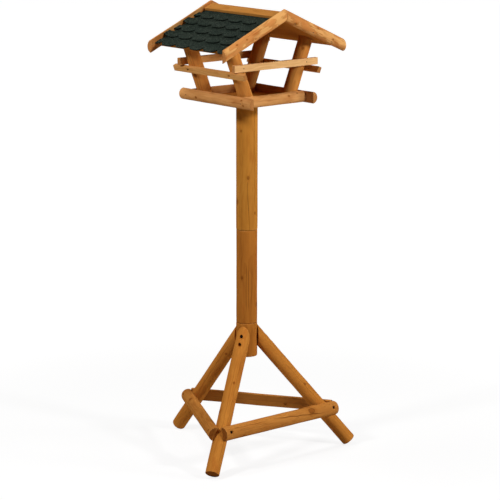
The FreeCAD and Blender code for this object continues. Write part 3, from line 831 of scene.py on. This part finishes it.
# A piece's marks are its knots and its long lines, in the order that knot_vectors and line_vectors give.
MAST = [
    ("mast_upper", MAST_UPPER_RADIUS, JOINT_HIGH, TRAY_BOTTOM, POLE,
     ([(648, 236, 2.6), (565, 279, 2.0), (755, 197, 1.8), (700, 60, 5),
       (612, 112, 4), (770, 20, 4.5), (560, 340, 3), (590, 165, 3.4)],
      [(818, 274, 570, 277, 0.35, 0.65), (790, 205, 640, 203, 0.3, 0.3),
       (700, 100, 530, 104, 0.4, 0.8), (815, 10, 660, 14, 0.3, 0.6)])),
    ("mast_lower", MAST_LOWER_RADIUS, JOINT_LOW, JOINT_HIGH, POLE_DEEP,
     ([(415, 203, 2.2), (395, 92, 5), (490, 30, 4), (350, 300, 2.4)],
      [(520, 196, 400, 200, 0.3, 0.4), (470, 262, 330, 258, 0.3, 0.35),
       (520, 60, 330, 66, 0.4, 0.8)])),
    ("mast_foot_block", BLOCK_RADIUS, BLOCK_BOTTOM, JOINT_LOW, POLE_DEEP,
     ([(262, 40, 3)], [(300, 258, 235, 256, 0.3, 0.3)])),
]
for number, (node, radius, low, high, stained, marks) in enumerate(MAST):
    timber("mast", number, node, stained, upright, round_section(radius), (level(low), level(high)), marks)

# %% [markdown]
# Screws and nails are turned shapes, many to a mesh. A screw's zinc lies under a film of the wood stain and
# is made a clouded near-black brown, darker still as painted shade of the hole it sits in. It shines more
# where the film is thin. A nail's head is driven level with the wood and stained over.

# %% Screws and nails
SCREW_RADIUS = 4 * MM
SCREW_HOLE = 4.1 * MM
PERCH_SCREW_RADIUS = 3.25 * MM
PERCH_SCREW_HOLE = 3.3 * MM
NAIL_RADIUS = 1.5 * MM


def stained_and_shaded_zinc():
    """A screw's zinc-plated steel under a film of stain, made near black as painted shade of its hole:
    roughness
    0.66 - 0.2 * cloud, metal 0.2 + 0.4 * cloud.
    """
    made, here, shader = material("stained_and_shaded_zinc_plated_steel")
    cloud = here.place().noise(700, 3).ease(0.4, 0.75)
    # The near-black browns are stain over zinc, made darker as painted shade of the hole.
    here.feed(shader, {"Base Color": cloud.blend(stain(16, 8, 4), stain(44, 28, 17)),
                       "Metallic": 0.2 + cloud * 0.4, "Roughness": 0.66 - cloud * 0.2,
                       "Specular IOR Level": 0.1})
    return made


def stained_zinc_nail():
    """A nail head under a thick film of stain, which hides the metal."""
    made, here, shader = material("stained_zinc_plated_nail")
    cloud = here.place().noise(900).ease(0.4, 0.7)
    here.feed(shader, {"Base Color": cloud.blend(stain(112, 66, 28), stain(150, 96, 46)),
                       "Roughness": 0.7 - cloud * 0.2})
    return made


SHADED_ZINC = stained_and_shaded_zinc()
ZINC_NAIL = stained_zinc_nail()


def heads(name, node, seats, profile, metal, columns):
    """The heads and shanks of one node's screws or nails. A seat is a point and the way in."""
    piece = turned_shape(name, seats, profile, columns)
    piece.data.materials.append(metal)
    fit(piece, node)


def screw_heads(name, node, seats, radius):
    """Domed heads with a six-lobed socket, on short shanks."""
    socket = 0.52 * radius
    profile = [(1.3 * MM, 0), (1.25 * MM, 0.7 * socket), (0.05 * MM, socket), (-0.1 * MM, 1.12 * socket),
               (0, 0.8 * radius), (0.35 * MM, 0.97 * radius), (0.8 * MM, radius), (2.6 * MM, 0.55 * radius),
               (14 * MM, 0.5 * radius), (14 * MM, 0)]
    heads(name, node, seats, profile, SHADED_ZINC, 24)


def nail_heads(name, node, seats):
    """Flat heads, slightly domed, driven level with the wood, on short shanks."""
    radius = NAIL_RADIUS
    profile = [(-0.15 * MM, 0), (-0.1 * MM, 0.6 * radius), (0.05 * MM, 0.93 * radius), (0.25 * MM, radius),
               (0.9 * MM, 0.95 * radius), (1.1 * MM, 0.7 * radius), (12 * MM, 0.7 * radius), (12 * MM, 0)]
    heads(name, node, seats, profile, ZINC_NAIL, 16)


def sunk(seats, depth):
    """The same seats, this far into the wood."""
    return [(point + depth * way, way) for point, way in seats]


# %% [markdown]
# The legs lean on the foot block. Each is sawn square at the foot, so it stands on its inner lower rim,
# and plumb where it meets the block. Two screws hold it, the lower one deeper, where the leg is thicker.

# %% Legs and their screws
LEG_SCREWS = ((280 * MM, 4 * MM), (264 * MM, 12 * MM))
LEG_MARKS = {
    "front_left": ([(221.5, 118, 1.8), (150, 30, 4), (290, 320, 3.5)],
                   [(310, 134, 20, 143, 0.35, 0.5), (285, 100, 60, 106, 0.3, 0.4),
                    (200, 60, 50, 62, 0.3, 0.5)]),
    "front_right": ([(181, 30, 1.8), (110, 140, 4), (300, 200, 4)],
                    [(260, 20, 120, 24, 0.3, 0.5), (80, 340, 10, 338, 0.3, 0.4)]),
    "back": ([(282, 215, 1.8), (120, 80, 4.5), (250, 100, 3)],
             [(330, 190, 130, 196, 0.35, 0.5), (300, 90, 100, 96, 0.3, 0.5)]),
}
foot_height = LEG_RADIUS * math.sin(LEG_TILT)
leg_screws = []
for number, (name, azimuth) in enumerate(LEGS.items()):
    out = compass(azimuth + STAND_TURN)
    upward = math.cos(LEG_TILT) * Z - math.sin(LEG_TILT) * out
    lay = Lay(FOOT_RADIUS * out + foot_height * Z, upward, out)
    holes = []
    for height, depth in LEG_SCREWS:
        rise = height - foot_height - LEG_RADIUS * math.sin(LEG_TILT)
        reach = FOOT_RADIUS + LEG_RADIUS * math.cos(LEG_TILT) - rise * math.tan(LEG_TILT)
        seats = [(reach * out + height * Z, -out)]
        holes.append((seats, SCREW_HOLE, depth))
        leg_screws += sunk(seats, depth)
    cuts = ((lay.origin, upward), (BLOCK_RADIUS * out, out))
    timber("leg", number, f"leg_{name}", LEG, lay, round_section(LEG_RADIUS), cuts, LEG_MARKS[name], holes)
screw_heads("leg_screw_heads", "leg_screws", leg_screws, SCREW_RADIUS)

# %% [markdown]
# The stretchers are half logs, screwed with their flats against two legs. A plane that touches two
# splayed legs leans inwards, and so does the stretcher. Each lies HALF_APART round from both its legs.

# %% Stretchers
STRETCHER_SCREW_DEPTH = 4 * MM
HALF_APART = math.radians(60)
STRETCHER_MARKS = {
    "front": ([(89.4, 74, 6.0), (-120, 150, 2.4)],
              [(-30, 64, 130, 116, 0.55, 1.0), (-165, 66, -45, 70, 0.35, 0.6),
               (-150, 96, -30, 98, 0.3, 0.5), (-165, 130, 60, 133, 0.3, 0.4)]),
    "right": ([(-60, 150, 3), (80, 40, 3)],
              [(-160, 70, 40, 80, 0.3, 0.6), (-20, 118, 150, 110, 0.3, 0.6)]),
    "left": ([(40, 120, 2.6), (-90, 60, 4)],
             [(-150, 100, 120, 92, 0.3, 0.5), (20, 60, 165, 62, 0.3, 0.5)]),
}
lean = math.atan(math.cos(HALF_APART) * math.tan(LEG_TILT))
stretcher_screws = []
for number, (name, (azimuth, slip)) in enumerate(STRETCHERS.items()):
    out = compass(azimuth + STAND_TURN)
    along = np.cross(Z, out)
    round_way = math.cos(lean) * out + math.sin(lean) * Z
    flat_distance = math.cos(lean) * FOOT_RADIUS * 0.5 + math.sin(lean) * foot_height + LEG_RADIUS
    reach = (flat_distance - math.sin(lean) * STRETCHER_HEIGHT) / math.cos(lean)
    contact = STRETCHER_HEIGHT - LEG_RADIUS * math.sin(lean)
    apart = (FOOT_RADIUS - (contact - foot_height) * math.tan(LEG_TILT)) * math.sin(HALF_APART)
    lay = Lay(reach * out + STRETCHER_HEIGHT * Z + slip * along, along, round_way)
    cuts = [(lay.origin + way * STRETCHER_LENGTH / 2 * along, along) for way in (-1, 1)]
    crest = lay.origin + LEG_RADIUS * round_way
    seats = [(crest + side * apart * along, -round_way) for side in (-1, 1)]
    stretcher_screws += sunk(seats, STRETCHER_SCREW_DEPTH)
    timber("stretcher", number, f"stretcher_{name}", STRETCHER, lay, half_round_section(LEG_RADIUS), cuts,
           STRETCHER_MARKS[name], [(seats, SCREW_HOLE, STRETCHER_SCREW_DEPTH)])
screw_heads("stretcher_screw_heads", "stretcher_screws", stretcher_screws, SCREW_RADIUS)

# %% [markdown]
# The tray: a floor board between four half-round rails. The eave-side rails run past the gable-side ones.
# Three screws go down through the floor into the mast, and four go up through it into the posts.

# %% Floor of the tray
FLOOR_SCREW_DEPTH = 0.6 * MM
floor_middle = (TRAY_BOTTOM + FLOOR_TOP) / 2
down = [(MAST_UPPER_RADIUS / 2 * compass(120 * number) + FLOOR_TOP * Z, -Z) for number in range(3)]
up = [(side * POST_SPREAD * X + end * POST_DEPTH * Y + TRAY_BOTTOM * Z, Z) for side, end in CORNERS.values()]
half = (FLOOR_TOP - TRAY_BOTTOM) / 2
board = [(side * TRAY_HALF_WIDTH, end * half) for side, end in ((-1, -1), (1, -1), (1, 1), (-1, 1))]
# The floor board takes the deeper board finish: painted shade.
timber("floor", 0, "floor_board", SHADED_BOARD, Lay(floor_middle * Z, Y, Z), polygon_section(board, BOARD_EDGE),
       ((-TRAY_HALF_DEPTH * Y, Y), (TRAY_HALF_DEPTH * Y, Y)),
       holes=[(seats, SCREW_HOLE, FLOOR_SCREW_DEPTH) for seats in (down, up)])
screw_heads("floor_screw_heads", "floor_screws", sunk(down, FLOOR_SCREW_DEPTH), SCREW_RADIUS)
screw_heads("post_screw_heads", "post_foot_screws", sunk(up, FLOOR_SCREW_DEPTH), SCREW_RADIUS)

# %% Rails of the tray
TRAY_RAILS = {
    "left": (-TRAY_HALF_WIDTH * X, Y, -X, EAVE_RAIL), "right": (TRAY_HALF_WIDTH * X, Y, X, EAVE_RAIL),
    "front": (-TRAY_HALF_DEPTH * Y, X, -Y, (-TRAY_HALF_WIDTH, TRAY_HALF_WIDTH)),
    "back": (TRAY_HALF_DEPTH * Y, X, Y, (-TRAY_HALF_WIDTH, TRAY_HALF_WIDTH)),
}
RAIL_MARKS = {
    "left": ([(-104.6, 75, 1.7), (-96.5, 124, 1.7), (60, 80, 2.0)],
             [(-126, 96, -60, 90, 0.3, 0.5), (-50, 60, 100, 66, 0.3, 0.35)]),
    "right": ([(80, 90, 3.5), (-40, 60, 3)], [(-100, 110, 60, 104, 0.3, 0.5)]),
    "front": ([(36.9, 63, 2.0), (63.7, 41, 1.6), (-80, 66, 1.2)],
              [(-80, 80, 10, 84, 0.3, 0.3)]),
    "back": ([(-30, 100, 3.5)], [(-60, 60, 60, 64, 0.3, 0.4)]),
}
for number, (name, (place, along, out, (low, high))) in enumerate(TRAY_RAILS.items()):
    lay = Lay(place + RAIL_HEIGHT * Z, along, out)
    cuts = ((low * along, along), (high * along, along))
    half_log = half_round_section(RAIL_RADIUS)
    timber("rail", number, f"tray_rail_{name}", RAIL, lay, half_log, cuts, RAIL_MARKS[name])

# %% Nails of the tray
CORNER_NAIL = 0.45 * RAIL_RADIUS
tray_nails = []
bulge = math.sqrt(RAIL_RADIUS ** 2 - (RAIL_HEIGHT - floor_middle) ** 2)
for side in (-1, 1):
    for end in (-1, 1):
        corner = side * (TRAY_HALF_WIDTH + RAIL_RADIUS) * X + end * (TRAY_HALF_DEPTH + CORNER_NAIL) * Y
        edge = side * (TRAY_HALF_WIDTH + bulge) * X + end * 0.5 * TRAY_HALF_DEPTH * Y
        gable = end * 0.5 * TRAY_HALF_WIDTH * X + side * (TRAY_HALF_DEPTH + bulge) * Y
        tray_nails += [(corner + RAIL_HEIGHT * Z, -side * X), (edge + floor_middle * Z, -side * X),
                       (gable + floor_middle * Z, -side * Y)]
nail_heads("tray_nail_heads", "tray_nails", tray_nails)

# %% [markdown]
# The posts stand on the floor and lean outwards under the roof. Perch bars are nailed across the gables
# and screwed along the eaves, where they lie against the lean of the posts.

# %% Posts
under_roof = VERGE_TOP + ROOF_UNDER / math.cos(SLOPE)
for number, (name, (side, end)) in enumerate(CORNERS.items()):
    upward = side * math.sin(POST_LEAN) * X + math.cos(POST_LEAN) * Z
    lay = Lay(side * POST_SPREAD * X + end * POST_DEPTH * Y + FLOOR_TOP * Z, upward, Y)
    knots = [(62, 40 + 80 * number, 3), (118, 170 + 60 * number, 2.4)]
    lines = [(10, 100 * number, 150, 100 * number + 4, 0.3, 0.45)]
    cuts = (level(FLOOR_TOP), (under_roof * Z, slope_axes(side)[1]))
    timber("post", number, f"post_{name}", POST, lay, round_section(POST_RADIUS), cuts, (knots, lines))

# %% Perches
PERCH_SCREW_DEPTH = 3.5 * MM


def perch(kind, number, name, stained, lay, width, holes=()):
    """A bar, width across and PERCH_THICKNESS up from y = 0, cut square half a perch from its middle."""
    corners = [(-width / 2, 0), (width / 2, 0), (width / 2, PERCH_THICKNESS), (-width / 2, PERCH_THICKNESS)]
    along = lay.axes[2]
    cuts = [(lay.origin + way * PERCH_LENGTH / 2 * along, along) for way in (-1, 1)]
    timber(kind, number, f"perch_{name}", stained, lay, polygon_section(corners, BAR_EDGE), cuts, holes=holes)


height, width, slip = GABLE_PERCH
outside = POST_DEPTH + POST_RADIUS
# The front gable perch takes the lit copy of the perch wood and the back one the shaded copy: painted light
# and shade.
gables = (("front", -1, slip, SLAT_LIT), ("back", 1, 0.0, SLAT_SHADED))
for number, (name, end, shift, stained) in enumerate(gables):
    lay = Lay(end * outside * Y + height * Z + shift * X, X, end * Y)
    perch("gable_perch", number, name, stained, lay, width)
spread = POST_SPREAD + (height - FLOOR_TOP) * math.tan(POST_LEAN)
perch_nails = [(side * spread * X + end * (outside + PERCH_THICKNESS) * Y + height * Z, -end * Y)
               for side, end in CORNERS.values()]

# The eave perches take the shaded copy of the perch wood: painted shade.
height, width = EAVE_PERCH
root = height + (POST_RADIUS + PERCH_THICKNESS / 2) * math.sin(POST_LEAN)
spread = POST_SPREAD + (root - FLOOR_TOP) * math.tan(POST_LEAN)
perch_screws = []
for number, (name, side) in enumerate(SIDES.items()):
    out = side * math.cos(POST_LEAN) * X - math.sin(POST_LEAN) * Z
    middle = side * spread * X + root * Z
    seats = [(middle + end * POST_DEPTH * Y + (POST_RADIUS + PERCH_THICKNESS) * out, -out) for end in (-1, 1)]
    perch_screws += sunk(seats, PERCH_SCREW_DEPTH)
    perch("eave_perch", number, name, SLAT_SHADED, Lay(middle + POST_RADIUS * out, Y, out), width,
          [(seats, PERCH_SCREW_HOLE, PERCH_SCREW_DEPTH)])
nail_heads("perch_nail_heads", "perch_nails", perch_nails)
screw_heads("perch_screw_heads", "perch_screws", perch_screws, PERCH_SCREW_RADIUS)

# %% [markdown]
# The roof: two boards under the shingles, half-round verges along their gable edges, and two flat ridge
# boards over the top row.

# %% Roof boards and ridge boards
RIDGE_NAIL_DOWN = 11 * MM
RIDGE_NAILS_ALONG = (-112, 6, 112)
mitre = -math.tan(SLOPE)
under = ROOF_TOP + SHINGLE
over = under + RIDGE_THICKNESS


def sheet(reach, low, high, edge):
    """The section of a board that lies from the ridge's mitre down to reach, between two heights."""
    return polygon_section([(low * mitre, low), (reach, low), (reach, high), (high * mitre, high)], edge)


# The roof boards take the deeper board finish: painted shade on their undersides.
for number, (name, side) in enumerate(SIDES.items()):
    lay = Lay(VERGE_TOP * Z, -side * Y, slope_axes(side)[1])
    cuts = [(way * ROOF_HALF_LENGTH * Y, Y) for way in (side, -side)]
    panel = sheet(ROOF_REACH, ROOF_UNDER, ROOF_TOP, BOARD_EDGE)
    timber("roof_board", number, f"roof_board_{name}", SHADED_BOARD, lay, panel, cuts)
    plank = sheet(RIDGE_REACH, under, over, RIDGE_EDGE)
    timber("ridge_board", number, f"ridge_board_{name}", RIDGE, lay, plank, cuts)
ridge_nails = [(roof_point(side, RIDGE_NAIL_DOWN, along * MM, over), -slope_axes(side)[1])
               for side in (-1, 1) for along in RIDGE_NAILS_ALONG]
nail_heads("ridge_nail_heads", "ridge_nails", ridge_nails)

# %% Verges
VERGE_NAILS_DOWN = (30, 90, 150)
VERGE_MARKS = {
    "front_left": ([(153, 132, 1.8), (102, 76, 1.2), (124, 120, 1.6)],
                   [(60, 120, 110, 126, 0.35, 0.5)]),
    "front_right": ([(32.6, 124, 2.6), (98, 61, 1.6), (150, 98, 1.8)],
                    [(66, 82, 104, 74, 0.4, 0.6), (90, 120, 160, 128, 0.35, 0.5)]),
    "back_left": ([(90, 60, 3)], [(30, 90, 150, 96, 0.3, 0.5)]),
    "back_right": ([(70, 110, 3)], [(40, 80, 160, 76, 0.3, 0.5)]),
}
off = (ROOF_UNDER + ROOF_TOP) / 2
bulge = math.sqrt(RAIL_RADIUS ** 2 - off ** 2)
verge_nails = []
for number, (name, (side, end)) in enumerate(CORNERS.items()):
    lay = Lay(VERGE_TOP * Z + end * ROOF_HALF_LENGTH * Y, slope_axes(side)[0], end * Y)
    cuts = ((np.zeros(3), X), (side * VERGE_HALF_WIDTH * X, X))
    half_log = half_round_section(RAIL_RADIUS)
    timber("verge", number, f"verge_{name}", SHAVED, lay, half_log, cuts, VERGE_MARKS[name])
    verge_nails += [(roof_point(side, down * MM, end * (ROOF_HALF_LENGTH + bulge), off), -end * Y)
                    for down in VERGE_NAILS_DOWN]
nail_heads("verge_nail_heads", "verge_nails", verge_nails)

# %% [markdown]
# The shingles are strips of bitumen felt with rounded tabs, five rows to a side, each lapping the row
# below and half a tab aside from it. A strip is felt that bends: flat on the board at its head, up a
# short ramp, and then over the row below, with its tabs lifting a little at the tips.

# %% Granules


def granules():
    """Bitumen with mineral granules: near black, flecked dark green and grey, and rough as sandpaper. Each
    granule is a cell of the pattern, with its own grey and a small dome."""
    made, here, shader = material("granule_shingle")
    place = here.place()
    face = here.attribute("granule_face", out="Fac")
    grain = place.cells(820, out="Color").part(0)
    cloud = place.noise(45, 3)
    patch = place.noise(330, 1)
    colour = grain.ease(0.1, 0.95).blend(stain(18, 24, 20), stain(54, 63, 55))
    colour = (grain.maths("GREATER_THAN", 0.93) * 0.6).blend(colour, stain(96, 106, 94))
    colour = (cloud.ease(0.35, 0.75) * 0.4).blend(colour, stain(16, 31, 27))
    colour = (patch.ease(0.5, 0.72) * 0.4).blend(colour, stain(60, 68, 60))
    colour = (patch.ease(0.48, 0.32) * 0.6).blend(colour, stain(12, 16, 13))
    colour = face.ease(0.35, 0.6).blend(stain(10, 10, 9), colour)
    height = (1 - place.cells(820) * 1.6) * face + (cloud - 0.5) * 0.6
    here.feed(shader, {"Base Color": colour, "Roughness": 0.82 - face * 0.1 + (grain - 0.5) * 0.2,
                       "Normal": height.bump(0.7, 0.5 * MM), "Specular IOR Level": 0.02})
    return made


GRANULES = granules()

# %% Shingle strips
TAB_SAG = 12 * MM
TAB_LIFT = 1.7 * MM
FREE_LENGTH = 30 * MM
RAMP = 3 * MM
EDGE_ROUGHNESS = 0.35 * MM
EAVE_DROOP = 1.2 * MM
BACK_RISE = 2.4 * MM
BACK_CURL = 4.0 * MM
BACK_LENGTH = 36 * MM
SHEET_GAP = 0.02 * MM
FACING_OUT = 0.6
SHEET_GRID = (24, 361)


def tab_edge(across, row, draw):
    """The strip's lower edge at each place along the ridge: tip - sag * |x| ** 3.4, x running from -1 to 1
    across a tab, less a little roughness. Also how much each tab lifts: its own share * (1 - x * x / 2)."""
    turn = (across - TAB_PHASES[row % 2]) / TAB_PITCH
    tab = np.floor(turn + 0.5).astype(int)
    x = 2 * (turn - tab)
    nicks = np.linspace(across[0], across[-1], 90)
    rough = EDGE_ROUGHNESS * np.interp(across, nicks, draw.uniform(-1, 1, len(nicks)))
    lower = TAB_TIPS[row] - TAB_SAG * np.abs(x) ** 3.4 + np.minimum(rough, 0)
    return lower, draw.uniform(0.35, 1.0, 20)[tab - tab.min()] * (1 - 0.5 * x ** 2)


def strip_height(reach, along, lift, row):
    """The height of the strip's underside over the verges' middle. It climbs one shingle on a smooth ramp
    where it meets the row below, and each tab lifts by the square of the way down it. The strips are a
    little long, so they rise against the back verge by BACK_RISE * back ** 2, and in every other row the
    narrow last tab curls up by BACK_CURL * back ** 4. The eave's row has no row below it and so no ramp, and
    its tabs droop by up to EAVE_DROOP where they hang over the board's edge."""
    tip = TAB_TIPS[row]
    climb = np.clip((reach - (tip - STRIP_HEIGHT + TAB_STEP)) / RAMP + 1, 0, 1)
    climb = climb * climb * (3 - 2 * climb) if row < ROWS - 1 else np.zeros_like(reach)
    free = np.clip((reach - (tip - FREE_LENGTH)) / FREE_LENGTH, 0, 1) ** 2
    droop = EAVE_DROOP * np.clip((reach - ROOF_REACH) / (12 * MM), 0, 1) if row == ROWS - 1 else 0.0
    back = np.clip((along - ROOF_HALF_LENGTH) / BACK_LENGTH + 1, 0, 1)
    rise = BACK_RISE * back ** 2 + row % 2 * BACK_CURL * back ** 4
    seen = np.clip((reach - tip) / (10 * MM) + 3, 0, 1)
    return ROOF_TOP + climb * SHINGLE + TAB_LIFT * free * lift[None] - droop + rise[None] * seen


def strip(name, node, side, row, seed):
    """One strip: a sheet from its hidden head down to the edge of its tabs. Its underside is SHEET_GAP over
    what it lies on and its top SHINGLE over that, and the granules are on the faces that look outwards."""
    draw = np.random.default_rng(seed)
    across = np.linspace(-ROOF_HALF_LENGTH, ROOF_HALF_LENGTH, SHEET_GRID[1])
    along = -side * across
    lower, lift = tab_edge(across, row, draw)
    head = TAB_TIPS[row] - STRIP_HEIGHT
    reach = head + (lower - head)[None] * np.linspace(0, 1, SHEET_GRID[0])[:, None]
    bottom = strip_height(reach, along, lift, row)
    fall, up = slope_axes(side)
    flow = VERGE_TOP * Z + reach[..., None] * fall + along[None, :, None] * Y
    low = flow + (bottom + SHEET_GAP)[..., None] * up
    top = flow + (bottom + SHINGLE)[..., None] * up
    points = np.concatenate([top.reshape(-1, 3), low.reshape(-1, 3)])
    number = np.arange(reach.size).reshape(reach.shape)
    quads = np.stack([number[:-1, :-1], number[:-1, 1:], number[1:, 1:], number[1:, :-1]], axis=-1)
    quads = quads.reshape(-1, 4)
    rim = np.concatenate([number[0, :-1], number[:-1, -1], number[-1, :0:-1], number[:0:-1, 0]])
    after = np.roll(rim, -1)
    wall = np.stack([after, rim, rim + reach.size, after + reach.size], axis=-1)
    piece = mesh_object(name, points, quads, quads[:, ::-1] + reach.size, wall)
    merge_points(piece)
    store(piece.data, "granule_face", read(piece.data.vertices, "normal", 3) @ up > FACING_OUT)
    piece.data.materials.append(GRANULES)
    fit(piece, node)


for name, side in SIDES.items():
    for row in range(ROWS):
        place = f"{name}_{row + 1}"
        strip("shingle_strip_" + place, "shingle_row_" + place, side, row, 90 + 5 * side + row)

# %% [markdown]
# What stays as the CAD made it: dowels, and nails that other pieces hide. They still get a real finish.

# %% Hidden pieces


def beech():
    """Plain beech: pale, with short dark flecks along the dowel."""
    made, here, shader = material("beech_dowel")
    fleck = here.place().noise((900, 900, 220)).ease(0.55, 0.75)
    here.feed(shader, {"Base Color": fleck.blend(stain(222, 186, 140), stain(176, 128, 84)),
                       "Roughness": 0.6 + fleck * 0.1})
    return made


BEECH = beech()
shown = {node: thing for node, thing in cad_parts.items() if not thing.hide_render}
for node, thing in shown.items():
    thing.data.materials.clear()
    thing.data.materials.append(BEECH if "dowel" in node else ZINC_NAIL)
print("CAD nodes that stay:", sorted(shown))

# %% [markdown]
# The stage. In the photograph the ground is white, with no edge and no shadow on it, and the shaded wood is
# deep and warm. A plain white floor would throw its light back up and turn that wood pale. So this one glows
# white where the camera looks at it, but is a dim warm grey to all other rays. The world is white to the
# camera and nearly black and warm to the rest, and leaves the light to the lamps.

# %% Floor and world
FLOOR_HALF = 40
ROOM_LIGHT = 0.02
ROOM_COLOUR = (1.0, 0.6, 0.3, 1)
WHITE = (1, 1, 1, 1)


def seen_by_camera(here):
    """1 for the camera's own rays and for those it sees in a gloss or through glass, and 0 for light."""
    kinds = ("Is Camera Ray", "Is Glossy Ray", "Is Transmission Ray")
    camera, gloss, glass = (here.node("ShaderNodeLightPath", {}, {}, out=kind) for kind in kinds)
    return (camera + gloss + glass).maths("MINIMUM", 1.0)


def pale_floor():
    """Glows by 0.83 under the table, rising to 1 at 2 m, and is a grey of 0.2 besides where it is seen."""
    made, here, shader = material("pale_floor")
    seen = seen_by_camera(here)
    here.feed(shader, {"Base Color": seen.blend((0.5, 0.46, 0.42, 1), (0.2, 0.2, 0.2, 1)), "Roughness": 1.0,
                       "Specular IOR Level": 0.0, "Emission Color": WHITE,
                       "Emission Strength": seen * here.place().length().ease(0.6, 2.0, 0.83, 1.0)})
    return made


corners = FLOOR_HALF * np.array([[-1, -1, 0], [1, -1, 0], [1, 1, 0], [-1, 1, 0]])
floor_mesh = mesh_object("stage_floor", corners, np.array([[0, 1, 2, 3]]))
floor_mesh.data.materials.append(pale_floor())

world = bpy.data.worlds.new("pale_room")
bpy.context.scene.world = world
world.use_nodes = True
sky = Wire(world.node_tree)
seen = seen_by_camera(sky)
sky.feed(world.node_tree.nodes["Background"], {"Strength": seen * (1 - ROOM_LIGHT) + ROOM_LIGHT,
                                               "Color": seen.blend(ROOM_COLOUR, WHITE)})

# %% [markdown]
# The light. The shadows in the photograph come from three sides, and none is sharp. Two lamps to the left,
# one of them high, light the roof. A low pair to the right lights the gable, and a broad weak one stands
# behind the table.

# %% Lamps
TARGET = np.array([0, 0, 0.55])
LAMP_DISTANCE = 3.0


def set_view(thing, place, back, roll):
    """Place a lamp or camera. It looks along its own -Z, against back, and its right side is level, but for
    the roll: right * cos(roll) + up * sin(roll)."""
    right = np.cross(Z, back)
    right = right / np.linalg.norm(right)
    up = np.cross(back, right)
    turned = np.eye(4)
    turned[:3, 0] = right * math.cos(roll) + up * math.sin(roll)
    turned[:3, 1] = up * math.cos(roll) - right * math.sin(roll)
    turned[:3, 2] = back
    turned[:3, 3] = place
    thing.matrix_world = Matrix(turned.tolist())


def lamp(name, azimuth, elevation, size, power):
    """A square lamp LAMP_DISTANCE from the target, unseen itself: size in metres, power in watts."""
    data = bpy.data.lights.new(name, "AREA")
    data.size = size
    data.energy = power
    thing = bpy.data.objects.new(name, data)
    bpy.context.scene.collection.objects.link(thing)
    thing.visible_camera = False
    thing.visible_glossy = False
    rise = math.radians(elevation)
    back = math.cos(rise) * compass(azimuth) + math.sin(rise) * Z
    set_view(thing, TARGET + LAMP_DISTANCE * back, back, 0.0)


lamp("left_lamp", 178, 37, 0.4, 45)
lamp("high_lamp", 130, 65, 0.7, 22)
lamp("front_lamp", 283, 28, 0.35, 41)
lamp("right_lamp", 312, 14, 0.6, 27)
lamp("back_lamp", 35, 30, 1.2, 11)

# %% [markdown]
# The camera. Its place, turn and focal length were fitted to edges measured in the photograph.

# %% Camera
AZIMUTH = math.radians(-40.462)
ELEVATION = math.radians(11.658)
ROLL = math.radians(0.082)
DISTANCE = 5.5519
AIM_RIGHT = 7.35 * MM
AIM_HEIGHT = 475.7 * MM
FOCAL_PIXELS = 2419.1
IMAGE_PIXELS = 500
SENSOR = 36

right = math.cos(AZIMUTH) * X + math.sin(AZIMUTH) * Y
back = math.cos(ELEVATION) * np.cross(right, Z) + math.sin(ELEVATION) * Z
camera = bpy.data.objects.new("camera", bpy.data.cameras.new("camera"))
bpy.context.scene.collection.objects.link(camera)
set_view(camera, AIM_RIGHT * right + AIM_HEIGHT * Z + DISTANCE * back, back, ROLL)
camera.data.sensor_width = SENSOR
camera.data.lens = FOCAL_PIXELS * SENSOR / IMAGE_PIXELS
camera.data.clip_end = 60
bpy.context.scene.camera = camera
bpy.context.scene.view_settings.view_transform = "Standard"
